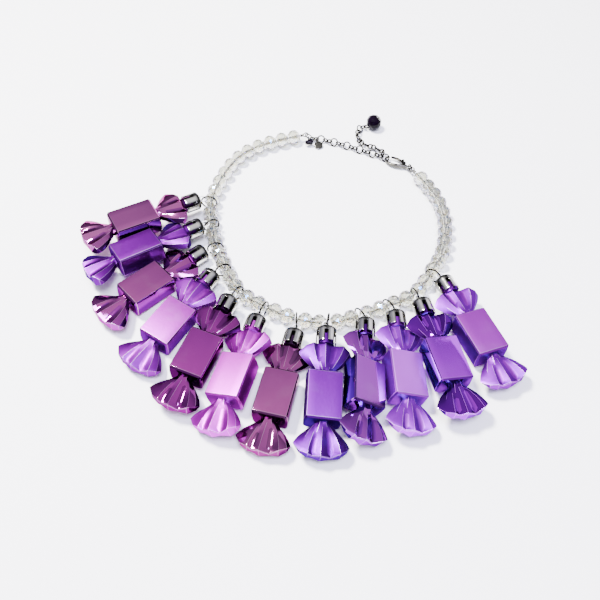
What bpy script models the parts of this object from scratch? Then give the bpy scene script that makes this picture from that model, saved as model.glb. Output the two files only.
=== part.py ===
"""Fashion necklace laid flat: twelve plastic wrapped-sweet charms on a strand of glass rondelles.

Units are metres and +Z is up. The necklace lies on z = 0 with its charms towards -Y and its clasp
towards +Y, and the middle of its footprint is at the origin. Places in the lists below are in
millimetres, about a point inside the loop of beads; CENTRE is where the footprint's middle is there.
"""

import math

import bmesh
import bpy
from mathutils import Matrix, Vector

MM = 0.001
GAP = 0.3 * MM
CENTRE = Vector((-5.55, 37.42, 0.0)) * MM

# The thread's route on the table, from the left crimp round the front to the right crimp (mm).
ROUTE = [
    (2.4, 150.3), (-14, 145), (-27, 139.5), (-38.5, 131), (-46.5, 120), (-52, 107), (-56, 93.5),
    (-57.5, 80), (-55, 62), (-50.5, 44.5), (-43.5, 27.5), (-34.8, 11.6), (-20, 1), (-3, -7),
    (15.3, -10.2), (33, -5.5), (50, 1.5), (66.8, 10.3), (78, 26), (86.5, 41), (90.5, 57),
    (91.5, 73), (89, 88), (83.5, 101), (76.2, 114.4),
]

# The extender chain's route to the link that the clasp holds, then that of its loose tail, whose
# third numbers are heights above the rest of the chain (mm).
CHAIN_ROUTE = [
    (7.4, 149.6), (14.9, 149), (23.4, 146), (32.3, 142.4), (41, 138.4), (49.8, 134.2), (64, 127.4),
]
TAIL_ROUTE = [
    (57.6, 132.0, 1.3), (56, 136.8, 0.5), (50, 141, 0), (44.4, 144.2, 0), (41, 149.5, 0),
    (41.2, 156, 0), (43, 161.2, 0), (48, 162.6, 0), (53, 164, 0),
]

# How each charm lies, counted from the left: the place of its middle and its height above the
# table (mm), then the heading of its tail (0 is -Y), the tilt of its cap end upwards and the roll
# of its right side downwards (degrees).
CHARMS = [
    (-101.7, 59.1, 13.9, -60.5, -3, 0),
    (-97.5, 37.2, 11.2, -58, -2, -9.5),
    (-89.4, 12.7, 7.9, -46, -3, 4),
    (-73.5, -13.5, 8.0, -31, 0, 6),
    (-55.4, -36.5, 10.7, -21, -1, 4),
    (-35.7, -49.3, 8.7, -16, -2, -14),
    (-12.6, -58.4, 6.71, -13.5, -1.4, 0),
    (12.1, -61.0, 9.6, -3.5, 1.8, 7),
    (33.6, -54.2, 11.0, -4, -3, 30),
    (55.4, -48.4, 9.3, 2, -2, 19),
    (77.6, -40.6, 11.3, 12, -2, 10),
    (98.8, -22.1, 9.0, 21, 0, 4),
]

# Distances along the thread, from its left end, at which the charms' rings pass round it (mm).
RING_STATIONS = [99.8, 118.4, 136.4, 154.9, 174.6, 192.9, 212.3, 230.4, 249.4, 266.9, 284.3, 302.9]

# Driving dimensions of a charm: a block with a pleated fan at each end.
BLOCK_WIDTH = 19.6 * MM
BLOCK_LENGTH = 28.0 * MM
BLOCK_HEIGHT = 12.5 * MM
BLOCK_BEVEL = 0.9 * MM
BLOCK_DRAFT = 0.4 * MM
FLAT_STEPS = (-0.5, 0.0, 0.5)
NECK_START = 15.8 * MM
NECK_WIDTH = 8.4 * MM
NECK_HEIGHT = 7.4 * MM
FAN_END = 33.0 * MM
FAN_SAG = 4.5 * MM
FAN_HALF_WIDTH = 14.5 * MM

# Section of a fan at its outer edge: across from the left corner, up, both in mm.
FAN_TOP = [
    (-14.5, 0.0), (-11, 1.2), (-7, 2.2), (-4.5, 1.6), (-0.5, 3.0), (5, 0.6), (9.5, 3.4), (13.0, 2.6),
    (14.5, 0.0),
]
FAN_BOTTOM = [
    (13.0, -2.2), (9.5, -3.6), (5, -2.6), (-0.5, -3.8), (-4.5, -2.6), (-7, -2.6), (-11, -1.2),
]

# The stub on the inner fan, and the silver crown cap on it with its eyelet.
STUB_RADIUS = 4.3 * MM
STUB_START = 29.0 * MM
STUB_END = 37.5 * MM
STUB_SIDES = 10
CAP_RADIUS = 5.7 * MM
CAP_WALL = 0.7 * MM
CAP_START = 33.0 * MM
CAP_SLOT_END = 39.6 * MM
CAP_SHOULDER = 41.2 * MM
CAP_END = 43.4 * MM
CAP_END_RADIUS = 2.6 * MM
CAP_PRONGS = 6
SLOT_ANGLE = math.radians(24)
EYELET_AT = 45.6 * MM
HOOK_AT = 45.7 * MM
EYELET_RADIUS = 2.3 * MM
EYELET_WIRE = 0.4 * MM

# The ring that hangs a charm on the thread; RING_DROP is how far it may sink below the eyelet.
RING_RADIUS = 4.8 * MM
RING_WIRE = 0.5 * MM
RING_DROP = 3.0 * MM
RING_SEGMENTS = 10

# The beads on their thread, and the crimp with its eye at each end of the thread.
BEAD_RADIUS = 5.0 * MM
BEAD_END_RADIUS = 2.2 * MM
BEAD_LENGTH = 7.8 * MM
BEAD_FLAT = 1.0 * MM
BEAD_SIDES = 7
LEFT_PITCH = 8.75 * MM
RIGHT_PITCH = 8.3 * MM
THREAD_RADIUS = 0.45 * MM
THREAD_HEIGHT = 5.0 * MM
BACK_BEADS = 11
BEADS_PER_NODE = 4
CRIMP_RADIUS = 1.1 * MM
CRIMP_LENGTH = 2.2 * MM
CRIMP_EYE_RADIUS = 1.6 * MM
EYE_WIRE = 0.35 * MM
ROUND_SIDES = 8
JUMP_RING_WIRE = 0.4 * MM
LEFT_JUMP_TURN = math.radians(-15)
UPRIGHT = math.radians(90)

# The extender chain: two small links, then a large one. Each link meets the next LINK_REACH inside
# its own radius, and its wire is thick enough there to fuse with it.
SMALL_LINK = 1.7 * MM
LARGE_LINK = 2.45 * MM
LINK_RADII = (SMALL_LINK, SMALL_LINK, LARGE_LINK)
LINK_SEGMENTS = (6, 6, 8)
LINK_WIRE = 0.48 * MM
LINK_REACH = 0.35 * MM
FIRST_TURN = math.radians(-70)
LINK_TURN = math.radians(60)
CHAIN_HEIGHT = 2.45 * MM
CHAIN_LINKS = 18
TAIL_LINKS = 14

# The clasp runs from its eye to the middle of its hook's end. The stations of its hook and of its
# lever are along it, across it and half as wide as the bar there (mm).
CLASP_EYE = Vector((74.0, 120.0, 2.5)) * MM
CLASP_HOOK = Vector((58.8, 129.5, 2.4)) * MM
CLASP_EYE_RADIUS = 1.5 * MM
CLASP_EYE_WIRE = 0.5 * MM
HOOK_STATIONS = [
    (1.2, 0, 0.9), (3.2, 0.9, 0.9), (5.5, 1.9, 1.0), (8.5, 3.0, 1.0), (12, 3.4, 0.9), (15.4, 2.6, 0.75),
    (17.6, 0.5, 0.6), (17.3, -1.4, 0.6), (15.9, -2.6, 0.6),
]
HOOK_HALF_HEIGHTS = (1.1, 1.3, 1.3, 1.2, 1.0, 0.8, 0.65, 0.65, 0.65)
CHEEK_STATIONS = [(3.0, 0.9, 0.9), (4.6, -1.6, 1.2), (5.2, -2.5, 0.8)]
CHEEK_HEIGHTS = (-1.3, -0.8)
PIN_HEIGHTS = (-1.1, 1.2)
LEVER_STATIONS = [(1.0, -0.4, 0.9), (2.9, -1.2, 0.9), (6.4, -1.8, 0.75), (10.2, -1.3, 0.55)]
LEVER_HEIGHTS = (-0.5, 0.9)
BOSS_HEIGHTS = (-0.45, 1.05)
KNOB_HEIGHTS = (-0.4, 1.3)
LEVER_PIVOT = Vector((4.6, -1.6, 0.0)) * MM
LEVER_KNOB = Vector((1.6, -1.9, 0.0)) * MM
KNOB_RADIUS = 0.9 * MM
BOSS_RADIUS = 1.5 * MM
BORE_RADIUS = 0.85 * MM
PIN_RADIUS = 0.5 * MM
BAR_BEVEL = 0.2

# What else hangs at the back: a small round tag, a dark barrel and the bead at the tail's end.
TAG_RADIUS = 3.0 * MM
TAG_THICKNESS = 0.8 * MM
TAG_SIDES = 12
TAG_EYE_RADIUS = 1.55 * MM
TAG_ANGLE = math.radians(-70)
TAG_FOOT = Vector((13.9, 140.6, 0.5)) * MM
BARREL_RADIUS = 1.7 * MM
BARREL_END_RADIUS = 1.1 * MM
BARREL_LENGTH = 5.5 * MM
BARREL_EYE_RADIUS = 1.35 * MM
BARREL_FOOT = Vector((7.2, 140.0, 1.3)) * MM
END_BEAD_AT = Vector((52.8, 163.5, 5.7)) * MM
END_BEAD_RADIUS = 5.7 * MM
END_BEAD_LENGTH = 9.0 * MM
PIN_LOOP_RADIUS = 1.3 * MM
PIN_HEAD_RADIUS = 0.9 * MM
PIN_HEAD_LENGTH = 0.5 * MM


def clear_scene():
    for item in list(bpy.data.objects):
        bpy.data.objects.remove(item)


def make_material(name, colour, metallic, roughness, transmission=0.0):
    material = bpy.data.materials.new(name)
    material.use_nodes = True
    shader = material.node_tree.nodes["Principled BSDF"]
    shader.inputs["Base Color"].default_value = (*colour, 1.0)
    shader.inputs["Metallic"].default_value = metallic
    shader.inputs["Roughness"].default_value = roughness
    shader.inputs["Transmission Weight"].default_value = transmission
    return material


def add_object(name, mesh, material, place=Matrix()):
    item = bpy.data.objects.new(name, mesh)
    bpy.context.collection.objects.link(item)
    mesh.materials.clear()
    mesh.materials.append(material)
    item.matrix_world = Matrix.Translation(-CENTRE) @ place


def mesh_from(name, bm):
    bmesh.ops.recalc_face_normals(bm, faces=bm.faces)
    mesh = bpy.data.meshes.new(name)
    bm.to_mesh(mesh)
    bm.free()
    return mesh


def rounded(mesh, angle=40):
    """The same mesh, shaded smooth except across its sharp edges."""
    mesh.shade_smooth()
    mesh.set_sharp_from_angle(angle=math.radians(angle))
    return mesh


def skin(bm, sections):
    """Joins each closed section to the next one with quads, and returns the rows of vertices."""
    rows = [[bm.verts.new(point) for point in section] for section in sections]
    for row, following in zip(rows, rows[1:]):
        for i in range(len(row)):
            j = (i + 1) % len(row)
            bm.faces.new((row[i], row[j], following[j], following[i]))
    return rows


def capped(name, sections):
    """A closed mesh through sections, with a flat face at each end."""
    bm = bmesh.new()
    rows = skin(bm, sections)
    bm.faces.new(rows[0])
    bm.faces.new(rows[-1])
    return mesh_from(name, bm)


def torus_mesh(radius, wire, segments, sides=4, place=Matrix()):
    """A ring of wire in the XY plane, with a corner of the wire's section facing inwards."""
    bm = bmesh.new()
    sections = []
    for i in range(segments):
        turn = Matrix.Rotation(2 * math.pi * i / segments, 4, "Z")
        angles = [math.pi + 2 * math.pi * j / sides for j in range(sides)]
        sections.append([
            turn @ Vector((radius + wire * math.cos(angle), 0, wire * math.sin(angle))) for angle in angles
        ])
    rows = skin(bm, sections)
    for j in range(sides):
        k = (j + 1) % sides
        bm.faces.new((rows[-1][j], rows[-1][k], rows[0][k], rows[0][j]))
    bm.transform(place)
    return mesh_from("torus", bm)


def turned_mesh(profile, sides, place=Matrix()):
    """A closed body turned about X, from (distance, radius) pairs."""
    angles = [2 * math.pi * i / sides for i in range(sides)]
    spokes = [Vector((0, math.sin(angle), -math.cos(angle))) for angle in angles]
    sections = []
    for distance, radius in profile:
        sections.append([place @ (Vector((distance, 0, 0)) + radius * spoke) for spoke in spokes])
    return capped("turned", sections)


def upright_cylinder(radius, low, high, sides, centre=Vector()):
    place = Matrix.Translation(centre) @ Matrix.Rotation(-math.pi / 2, 4, "Y")
    return turned_mesh([(low, radius), (high, radius)], sides, place)


def eye_mesh(radius, centre=Vector()):
    """A small wire eye in the XZ plane, fused to what it hangs."""
    place = Matrix.Translation(centre) @ Matrix.Rotation(math.pi / 2, 4, "X")
    return torus_mesh(radius, EYE_WIRE, ROUND_SIDES, place=place)


def combined(name, meshes, cutters=()):
    """One closed mesh: an exact union of the meshes, less the cutters."""
    base = bpy.data.objects.new(name, meshes[0])
    bpy.context.collection.objects.link(base)
    objects = [base]
    groups = []
    for operation, operands in (("UNION", meshes[1:]), ("DIFFERENCE", cutters)):
        if not operands:
            continue
        group = bpy.data.collections.new(name)
        bpy.context.scene.collection.children.link(group)
        groups.append(group)
        for mesh in operands:
            objects.append(bpy.data.objects.new(name, mesh))
            group.objects.link(objects[-1])
        step = base.modifiers.new(operation, "BOOLEAN")
        step.operation = operation
        step.operand_type = "COLLECTION"
        step.collection = group
        step.solver = "EXACT"
    depsgraph = bpy.context.evaluated_depsgraph_get()
    result = bpy.data.meshes.new_from_object(base.evaluated_get(depsgraph))
    for item in objects:
        bpy.data.objects.remove(item)
    for group in groups:
        bpy.data.collections.remove(group)
    return result


def block_section(y, width, height):
    """The block's section: a rounded rectangle, widest at the mould line half-way up."""
    side = width / 2
    top = height / 2
    upper = [(-side, 0), (-side + BLOCK_DRAFT, top - BLOCK_BEVEL), (-side + BLOCK_BEVEL, top)]
    flats = [(step * (side - BLOCK_BEVEL), top) for step in FLAT_STEPS]
    mirrored = [(-x, z) for x, z in reversed(upper)]
    outline = upper + flats + mirrored
    lower = [(x, -z) for x, z in reversed(outline[1:-1])]
    return [Vector((x, y, z)) for x, z in outline + lower]


def neck_section(y):
    """The neck's section: an ellipse whose points follow those of the fan."""
    count = len(FAN_TOP) + len(FAN_BOTTOM)
    points = []
    for i in range(count):
        angle = math.pi * (1 - 2 * i / count)
        points.append(Vector((NECK_WIDTH / 2 * math.cos(angle), y, NECK_HEIGHT / 2 * math.sin(angle))))
    return points


def fan_section(side):
    """The fan's outer edge, which bows outwards; side is 1 at the cap and -1 at the tail."""
    points = []
    for x, z in FAN_TOP + FAN_BOTTOM:
        reach = FAN_END - FAN_SAG * (x * MM / FAN_HALF_WIDTH) ** 2
        points.append(Vector((x * MM, side * reach, z * MM)))
    return points


def close_flat_section(bm, row):
    """Closes a wide, thin section with a strip of quads from its top points to its bottom points."""
    count = len(row)
    for i in range(count // 2):
        corners = [row[i], row[i + 1], row[(count - i - 1) % count], row[(count - i) % count]]
        bm.faces.new(list(dict.fromkeys(corners)))


def candy_mesh():
    """A wrapped sweet: its block, necks and fans in one skin, with the stub that its cap grips."""
    half = BLOCK_LENGTH / 2
    inset = BLOCK_BEVEL
    sections = [
        fan_section(-1),
        neck_section(-NECK_START),
        block_section(-half, BLOCK_WIDTH - 2 * inset, BLOCK_HEIGHT - 2 * inset),
        block_section(-half + inset, BLOCK_WIDTH, BLOCK_HEIGHT),
        block_section(half - inset, BLOCK_WIDTH, BLOCK_HEIGHT),
        block_section(half, BLOCK_WIDTH - 2 * inset, BLOCK_HEIGHT - 2 * inset),
        neck_section(NECK_START),
        fan_section(1),
    ]
    bm = bmesh.new()
    rows = skin(bm, sections)
    close_flat_section(bm, rows[0])
    close_flat_section(bm, rows[-1])
    along_y = Matrix.Rotation(math.pi / 2, 4, "Z")
    stub = turned_mesh([(STUB_START, STUB_RADIUS), (STUB_END, STUB_RADIUS)], STUB_SIDES, along_y)
    return combined("candy", [mesh_from("wrapper", bm), stub])


def crown_points(radius, y):
    """One ring of the crown: the two edges of each prong, so every other side is a slot."""
    reach = math.pi / CAP_PRONGS - SLOT_ANGLE / 2
    middles = [2 * math.pi * prong / CAP_PRONGS for prong in range(CAP_PRONGS)]
    angles = [middle + side * reach for middle in middles for side in (-1, 1)]
    return [Vector((radius * math.cos(angle), y, radius * math.sin(angle))) for angle in angles]


def cap_mesh():
    """The cap: a cup open towards the candy, with slots up from its edge, a low dome and an eyelet."""
    bm = bmesh.new()
    outer = [
        (CAP_RADIUS, CAP_START), (CAP_RADIUS, CAP_SLOT_END), (CAP_RADIUS, CAP_SHOULDER),
        (CAP_END_RADIUS, CAP_END),
    ]
    inner = [(CAP_RADIUS - CAP_WALL, y) for y in (CAP_START, CAP_SLOT_END, CAP_SHOULDER - CAP_WALL)]
    outside = [[bm.verts.new(p) for p in crown_points(r, y)] for r, y in outer]
    inside = [[bm.verts.new(p) for p in crown_points(r, y)] for r, y in inner]
    count = len(outside[0])
    for i in range(count):
        j = (i + 1) % count
        slot = i % 2 == 1
        for rows in (outside, inside):
            for level, (row, following) in enumerate(zip(rows, rows[1:])):
                if not (slot and level == 0):
                    bm.faces.new((row[i], row[j], following[j], following[i]))
        edge = 1 if slot else 0
        bm.faces.new((outside[edge][i], outside[edge][j], inside[edge][j], inside[edge][i]))
        if slot:
            for k in (i, j):
                bm.faces.new((outside[0][k], outside[1][k], inside[1][k], inside[0][k]))
    bm.faces.new(outside[-1])
    bm.faces.new(inside[-1])
    eyelet = torus_mesh(EYELET_RADIUS, EYELET_WIRE, ROUND_SIDES, place=Matrix.Translation((0, EYELET_AT, 0)))
    return rounded(combined("cap", [mesh_from("crown", bm), eyelet]))


def smooth_route(points, steps=12):
    """A smooth curve through the route's points, as a list of points with their arc lengths."""
    known = [Vector(point).to_3d() * MM for point in points]
    padded = [2 * known[0] - known[1]] + known + [2 * known[-1] - known[-2]]
    curve = []
    for a, b, c, d in zip(padded, padded[1:], padded[2:], padded[3:]):
        for step in range(steps):
            t = step / steps
            curve.append(0.5 * (
                2 * b + (c - a) * t + (2 * a - 5 * b + 4 * c - d) * t * t
                + (3 * b - a - 3 * c + d) * t ** 3
            ))
    curve.append(known[-1])
    lengths = [0.0]
    for a, b in zip(curve, curve[1:]):
        lengths.append(lengths[-1] + (b - a).length)
    return curve, lengths


def along(route, distance):
    """The place and direction at a distance along a smooth route."""
    curve, lengths = route
    distance = min(max(distance, 0.0), lengths[-1])
    i = max(k for k in range(len(lengths) - 1) if lengths[k] <= distance)
    part = (distance - lengths[i]) / (lengths[i + 1] - lengths[i])
    before = (curve[i + 1] - curve[max(i - 1, 0)]).normalized()
    after = (curve[min(i + 2, len(curve) - 1)] - curve[i]).normalized()
    return curve[i].lerp(curve[i + 1], part), before.lerp(after, part).normalized()


def frame_at(start, end, turn=0.0):
    """A matrix at one point with +X towards another and +Y level, then turned about that +X."""
    direction = (end - start).normalized()
    across = Vector((0, 0, 1)).cross(direction).normalized()
    basis = Matrix((direction, across, direction.cross(across))).transposed().to_4x4()
    return Matrix.Translation(start) @ basis @ Matrix.Rotation(turn, 4, "X")


def ring_between(start, end, turn):
    """The matrix and radius of a ring whose wire passes through two points."""
    radius = (end - start).length / 2
    return frame_at(start, end, turn) @ Matrix.Translation((radius, 0, 0)), radius


def bead_profile(centre, length=BEAD_LENGTH, radius=BEAD_RADIUS):
    """A rondelle's (distance, radius) pairs: a cone at each end of a short cylinder."""
    half = length / 2
    return [
        (centre - half, BEAD_END_RADIUS), (centre - BEAD_FLAT, radius),
        (centre + BEAD_FLAT, radius), (centre + half, BEAD_END_RADIUS),
    ]


def strand_mesh(thread, centres, start, end):
    """A stretch of thread with its beads, as one body that follows the thread's route."""
    half = BEAD_LENGTH / 2
    profile = [(start, THREAD_RADIUS)]
    for centre in centres:
        profile += [(centre - half, THREAD_RADIUS)] + bead_profile(centre) + [(centre + half, THREAD_RADIUS)]
    profile.append((end, THREAD_RADIUS))
    sections = []
    for distance, radius in profile:
        point, direction = along(thread, distance)
        across = Vector((direction.y, -direction.x, 0))
        section = []
        for i in range(BEAD_SIDES):
            angle = 2 * math.pi * i / BEAD_SIDES
            section.append(point + radius * (across * math.sin(angle) - Vector((0, 0, math.cos(angle)))))
        sections.append(section)
    return capped("strand", sections)


def bead_centres(rings):
    """Distances of the beads along the thread: two in each gap between rings, and both backs."""
    side = RING_WIRE + GAP
    left = [rings[0] - side - LEFT_PITCH * (i + 0.5) for i in range(BACK_BEADS)]
    right = [rings[-1] + side + RIGHT_PITCH * (i + 0.5) for i in range(BACK_BEADS)]
    front = []
    for ring, following in zip(rings, rings[1:]):
        middle = (ring + following) / 2
        front += [middle - (BEAD_LENGTH + GAP) / 2, middle + (BEAD_LENGTH + GAP) / 2]
    return sorted(left) + front + right


def bead_groups(centres, length):
    """The beads of each strand node, with the ends of its thread in the gaps beside its beads."""
    groups = []
    for first in range(0, len(centres), BEADS_PER_NODE):
        group = centres[first:first + BEADS_PER_NODE]
        last = first + len(group)
        start = (centres[first - 1] + group[0]) / 2 + GAP if first else CRIMP_LENGTH + GAP
        end = (group[-1] + centres[last]) / 2 - GAP if last < len(centres) else length - CRIMP_LENGTH - GAP
        groups.append((group, start, end))
    return groups


def charm_places(charm):
    """The matrix of a charm and that of its cap, whose eyelet stays level when the charm rolls."""
    x, y, height, heading, tilt, roll = charm
    turn = Matrix.Rotation(math.radians(heading), 4, "Z") @ Matrix.Rotation(math.radians(tilt), 4, "X")
    cap_matrix = Matrix.Translation((x * MM, y * MM, height * MM)) @ turn
    return cap_matrix @ Matrix.Rotation(math.radians(roll), 4, "Y"), cap_matrix


def ring_place(point, hook):
    """The matrix of a ring that passes through the eyelet and round the thread, standing upright."""
    reach = point - hook
    lowest = max(RING_RADIUS + RING_WIRE - hook.z, -RING_DROP)
    rise = max(reach.normalized().z * RING_RADIUS, lowest)
    level = Vector((reach.x, reach.y, 0)).normalized()
    centre = hook + level * math.sqrt(RING_RADIUS ** 2 - rise ** 2) + Vector((0, 0, rise))
    normal = reach.cross(Vector((0, 0, 1))).normalized()
    return Matrix.Translation(centre) @ normal.to_track_quat("Z", "Y").to_matrix().to_4x4()


def link_places(points, count):
    """The matrix of each link of a chain along a route, each turned from the last."""
    route = smooth_route(points)
    height = Vector((0, 0, CHAIN_HEIGHT))
    places = []
    distance = 0.0
    for i in range(count):
        span = 2 * (LINK_RADII[i % len(LINK_RADII)] - LINK_REACH)
        start, end = (along(route, d)[0] + height for d in (distance, distance + span))
        places.append(ring_between(start, end, FIRST_TURN + i * LINK_TURN)[0])
        distance += span
    return places


def chain_mesh(runs):
    """The links of both runs of the chain, fused where they meet."""
    links = []
    for places in runs:
        for i, place in enumerate(places):
            kind = i % len(LINK_RADII)
            links.append(torus_mesh(LINK_RADII[kind], LINK_WIRE, LINK_SEGMENTS[kind], 3, place))
    return rounded(combined("chain", links))


def bar_mesh(stations, heights):
    """A flat bar with bevelled edges through stations (along, across, half width), all in mm."""
    sections = []
    for i, ((x, y, half), (low, high)) in enumerate(zip(stations, heights)):
        before, after = stations[max(i - 1, 0)], stations[min(i + 1, len(stations) - 1)]
        direction = Vector((after[0] - before[0], after[1] - before[1])).normalized()
        inner = half - BAR_BEVEL
        corners = (
            (-half, low + BAR_BEVEL), (-half, high - BAR_BEVEL), (-inner, high), (inner, high),
            (half, high - BAR_BEVEL), (half, low + BAR_BEVEL), (inner, low), (-inner, low),
        )
        sections.append([
            Vector((x - direction.y * side, y + direction.x * side, height)) * MM for side, height in corners
        ])
    return capped("bar", sections)


def clasp_body_mesh():
    """The lobster clasp's hook with its eye, and the cheek and pin that carry the lever."""
    hook = bar_mesh(HOOK_STATIONS, [(-half, half) for half in HOOK_HALF_HEIGHTS])
    cheek = bar_mesh(CHEEK_STATIONS, [CHEEK_HEIGHTS] * len(CHEEK_STATIONS))
    low, high = (height * MM for height in PIN_HEIGHTS)
    pin = upright_cylinder(PIN_RADIUS, low, high, ROUND_SIDES, LEVER_PIVOT)
    eye = torus_mesh(CLASP_EYE_RADIUS, CLASP_EYE_WIRE, ROUND_SIDES)
    return rounded(combined("clasp_body", [hook, cheek, pin, eye]))


def clasp_lever_mesh():
    """The clasp's lever about its pivot, with its boss and thumb knob and a bore for the pin."""
    arm = bar_mesh(LEVER_STATIONS, [LEVER_HEIGHTS] * len(LEVER_STATIONS))
    low, high = (height * MM for height in BOSS_HEIGHTS)
    boss = upright_cylinder(BOSS_RADIUS, low, high, ROUND_SIDES)
    bore = upright_cylinder(BORE_RADIUS, 2 * low, 2 * high, ROUND_SIDES)
    low, high = (height * MM for height in KNOB_HEIGHTS)
    knob = upright_cylinder(KNOB_RADIUS, low, high, ROUND_SIDES, LEVER_KNOB)
    return rounded(combined("clasp_lever", [boss, arm, knob], [bore]))


def crimp_eye():
    return Vector((CRIMP_LENGTH + CRIMP_EYE_RADIUS, 0, 0))


def crimp_mesh():
    """The tube pressed on to the thread's end, along X, with its eye beyond it."""
    tube = turned_mesh([(0, CRIMP_RADIUS), (CRIMP_LENGTH, CRIMP_RADIUS)], ROUND_SIDES)
    return rounded(combined("crimp", [tube, eye_mesh(CRIMP_EYE_RADIUS, crimp_eye())]))


def tag_mesh():
    """A flat round tag that hangs along +X from its eye at the origin."""
    reach = Vector((TAG_EYE_RADIUS + TAG_RADIUS - EYE_WIRE / 2, 0, 0))
    disc = upright_cylinder(TAG_RADIUS, -TAG_THICKNESS / 2, TAG_THICKNESS / 2, TAG_SIDES, reach)
    return rounded(combined("tag", [disc, eye_mesh(TAG_EYE_RADIUS)]))


def barrel_mesh():
    """A dark barrel that hangs across +X by its middle from its eye at the origin."""
    reach = BARREL_EYE_RADIUS + BARREL_RADIUS - EYE_WIRE / 2
    half = BARREL_LENGTH / 2
    profile = [
        (-half, BARREL_END_RADIUS), (-half / 2, BARREL_RADIUS), (half / 2, BARREL_RADIUS),
        (half, BARREL_END_RADIUS),
    ]
    place = Matrix.Translation((reach, 0, 0)) @ Matrix.Rotation(math.pi / 2, 4, "Z")
    body = turned_mesh(profile, ROUND_SIDES, place)
    return rounded(combined("barrel", [body, eye_mesh(BARREL_EYE_RADIUS)]))


def end_bead_mesh(reach):
    """The dark rondelle on its head pin, whose loop is at the origin; reach is the bead's distance."""
    half = END_BEAD_LENGTH / 2
    head = reach + half + PIN_HEAD_LENGTH
    bead = bead_profile(reach, END_BEAD_LENGTH, END_BEAD_RADIUS)
    profile = [(PIN_LOOP_RADIUS, THREAD_RADIUS), (reach - half, THREAD_RADIUS)] + bead + [
        (reach + half, THREAD_RADIUS), (head, THREAD_RADIUS), (head, PIN_HEAD_RADIUS),
        (head + PIN_HEAD_LENGTH, PIN_HEAD_RADIUS),
    ]
    return combined("end_bead", [turned_mesh(profile, BEAD_SIDES), eye_mesh(PIN_LOOP_RADIUS)])


def add_charms(thread, rings, silver):
    candy = candy_mesh()
    cap = cap_mesh()
    ring = rounded(torus_mesh(RING_RADIUS, RING_WIRE, RING_SEGMENTS))
    for number, (charm, station) in enumerate(zip(CHARMS, rings), 1):
        charm_matrix, cap_matrix = charm_places(charm)
        colour = (0.45, 0.12, 0.40) if number % 2 else (0.40, 0.10, 0.62)
        finish = make_material(f"plastic_{number:02d}", colour, 0.9, 0.15 if number % 2 else 0.35)
        ring_matrix = ring_place(along(thread, station)[0], cap_matrix @ Vector((0, HOOK_AT, 0)))
        add_object(f"candy_{number:02d}", candy.copy(), finish, charm_matrix)
        add_object(f"cap_{number:02d}", cap.copy(), silver, cap_matrix)
        add_object(f"ring_{number:02d}", ring.copy(), silver, ring_matrix)


def add_strands(thread, rings):
    glass = make_material("glass", (0.9, 0.92, 0.93), 0.0, 0.05, 0.8)
    groups = bead_groups(bead_centres(rings), thread[1][-1])
    for number, (centres, start, end) in enumerate(groups, 1):
        add_object(f"bead_strand_{number:02d}", strand_mesh(thread, centres, start, end), glass)


def add_crimp(side, point, outwards, turn, silver):
    """A crimp whose tube ends at a point of the thread; returns the middle of its eye."""
    place = frame_at(point - outwards * CRIMP_LENGTH, point, turn)
    add_object(f"crimp_{side}", crimp_mesh(), silver, place)
    return place @ crimp_eye()


def add_jump_ring(side, start, end, turn, silver):
    """A ring through two points; returns the middle of its wire half-way round its -Y side."""
    place, radius = ring_between(start, end, turn)
    mesh = rounded(torus_mesh(radius, JUMP_RING_WIRE, RING_SEGMENTS))
    add_object(f"jump_ring_{side}", mesh, silver, place)
    return place @ Vector((0, -radius, 0))


def add_findings(thread, silver):
    """The chain, clasp, crimps and jump rings at the back, and what hangs on them."""
    dark = make_material("dark", (0.03, 0.02, 0.05), 0.2, 0.1)
    main_run, tail = link_places(CHAIN_ROUTE, CHAIN_LINKS), link_places(TAIL_ROUTE, TAIL_LINKS)
    add_object("extender_chain", chain_mesh((main_run, tail)), silver)

    point, direction = along(thread, 0.0)
    eye = add_crimp("left", point, -direction, 0.0, silver)
    hanger = add_jump_ring("left", eye, main_run[0].translation, LEFT_JUMP_TURN, silver)
    add_object("barrel", barrel_mesh(), dark, frame_at(hanger, BARREL_FOOT))
    hanger = main_run[1] @ Matrix.Rotation(TAG_ANGLE, 4, "Z") @ Vector((SMALL_LINK, 0, 0))
    add_object("tag", tag_mesh(), silver, frame_at(hanger, TAG_FOOT))

    clasp = frame_at(CLASP_EYE, CLASP_HOOK)
    add_object("clasp_body", clasp_body_mesh(), silver, clasp)
    add_object("clasp_lever", clasp_lever_mesh(), silver, clasp @ Matrix.Translation(LEVER_PIVOT))
    point, direction = along(thread, thread[1][-1])
    eye = add_crimp("right", point, direction, UPRIGHT, silver)
    add_jump_ring("right", eye, CLASP_EYE, UPRIGHT, silver)

    last_radius = LINK_RADII[(TAIL_LINKS - 1) % len(LINK_RADII)]
    last_wire = tail[-1] @ Vector((last_radius, 0, 0))
    reach = (END_BEAD_AT - last_wire).length
    add_object("end_bead", end_bead_mesh(reach), dark, frame_at(last_wire, END_BEAD_AT))


def main():
    clear_scene()
    curve, lengths = smooth_route(ROUTE)
    thread = [point + Vector((0, 0, THREAD_HEIGHT)) for point in curve], lengths
    rings = [station * MM for station in RING_STATIONS]
    silver = make_material("silver", (0.75, 0.74, 0.72), 1.0, 0.2)
    add_charms(thread, rings, silver)
    add_strands(thread, rings)
    add_findings(thread, silver)


main()
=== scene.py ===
import math

import bmesh
import bpy
from mathutils import Matrix, Vector


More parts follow.
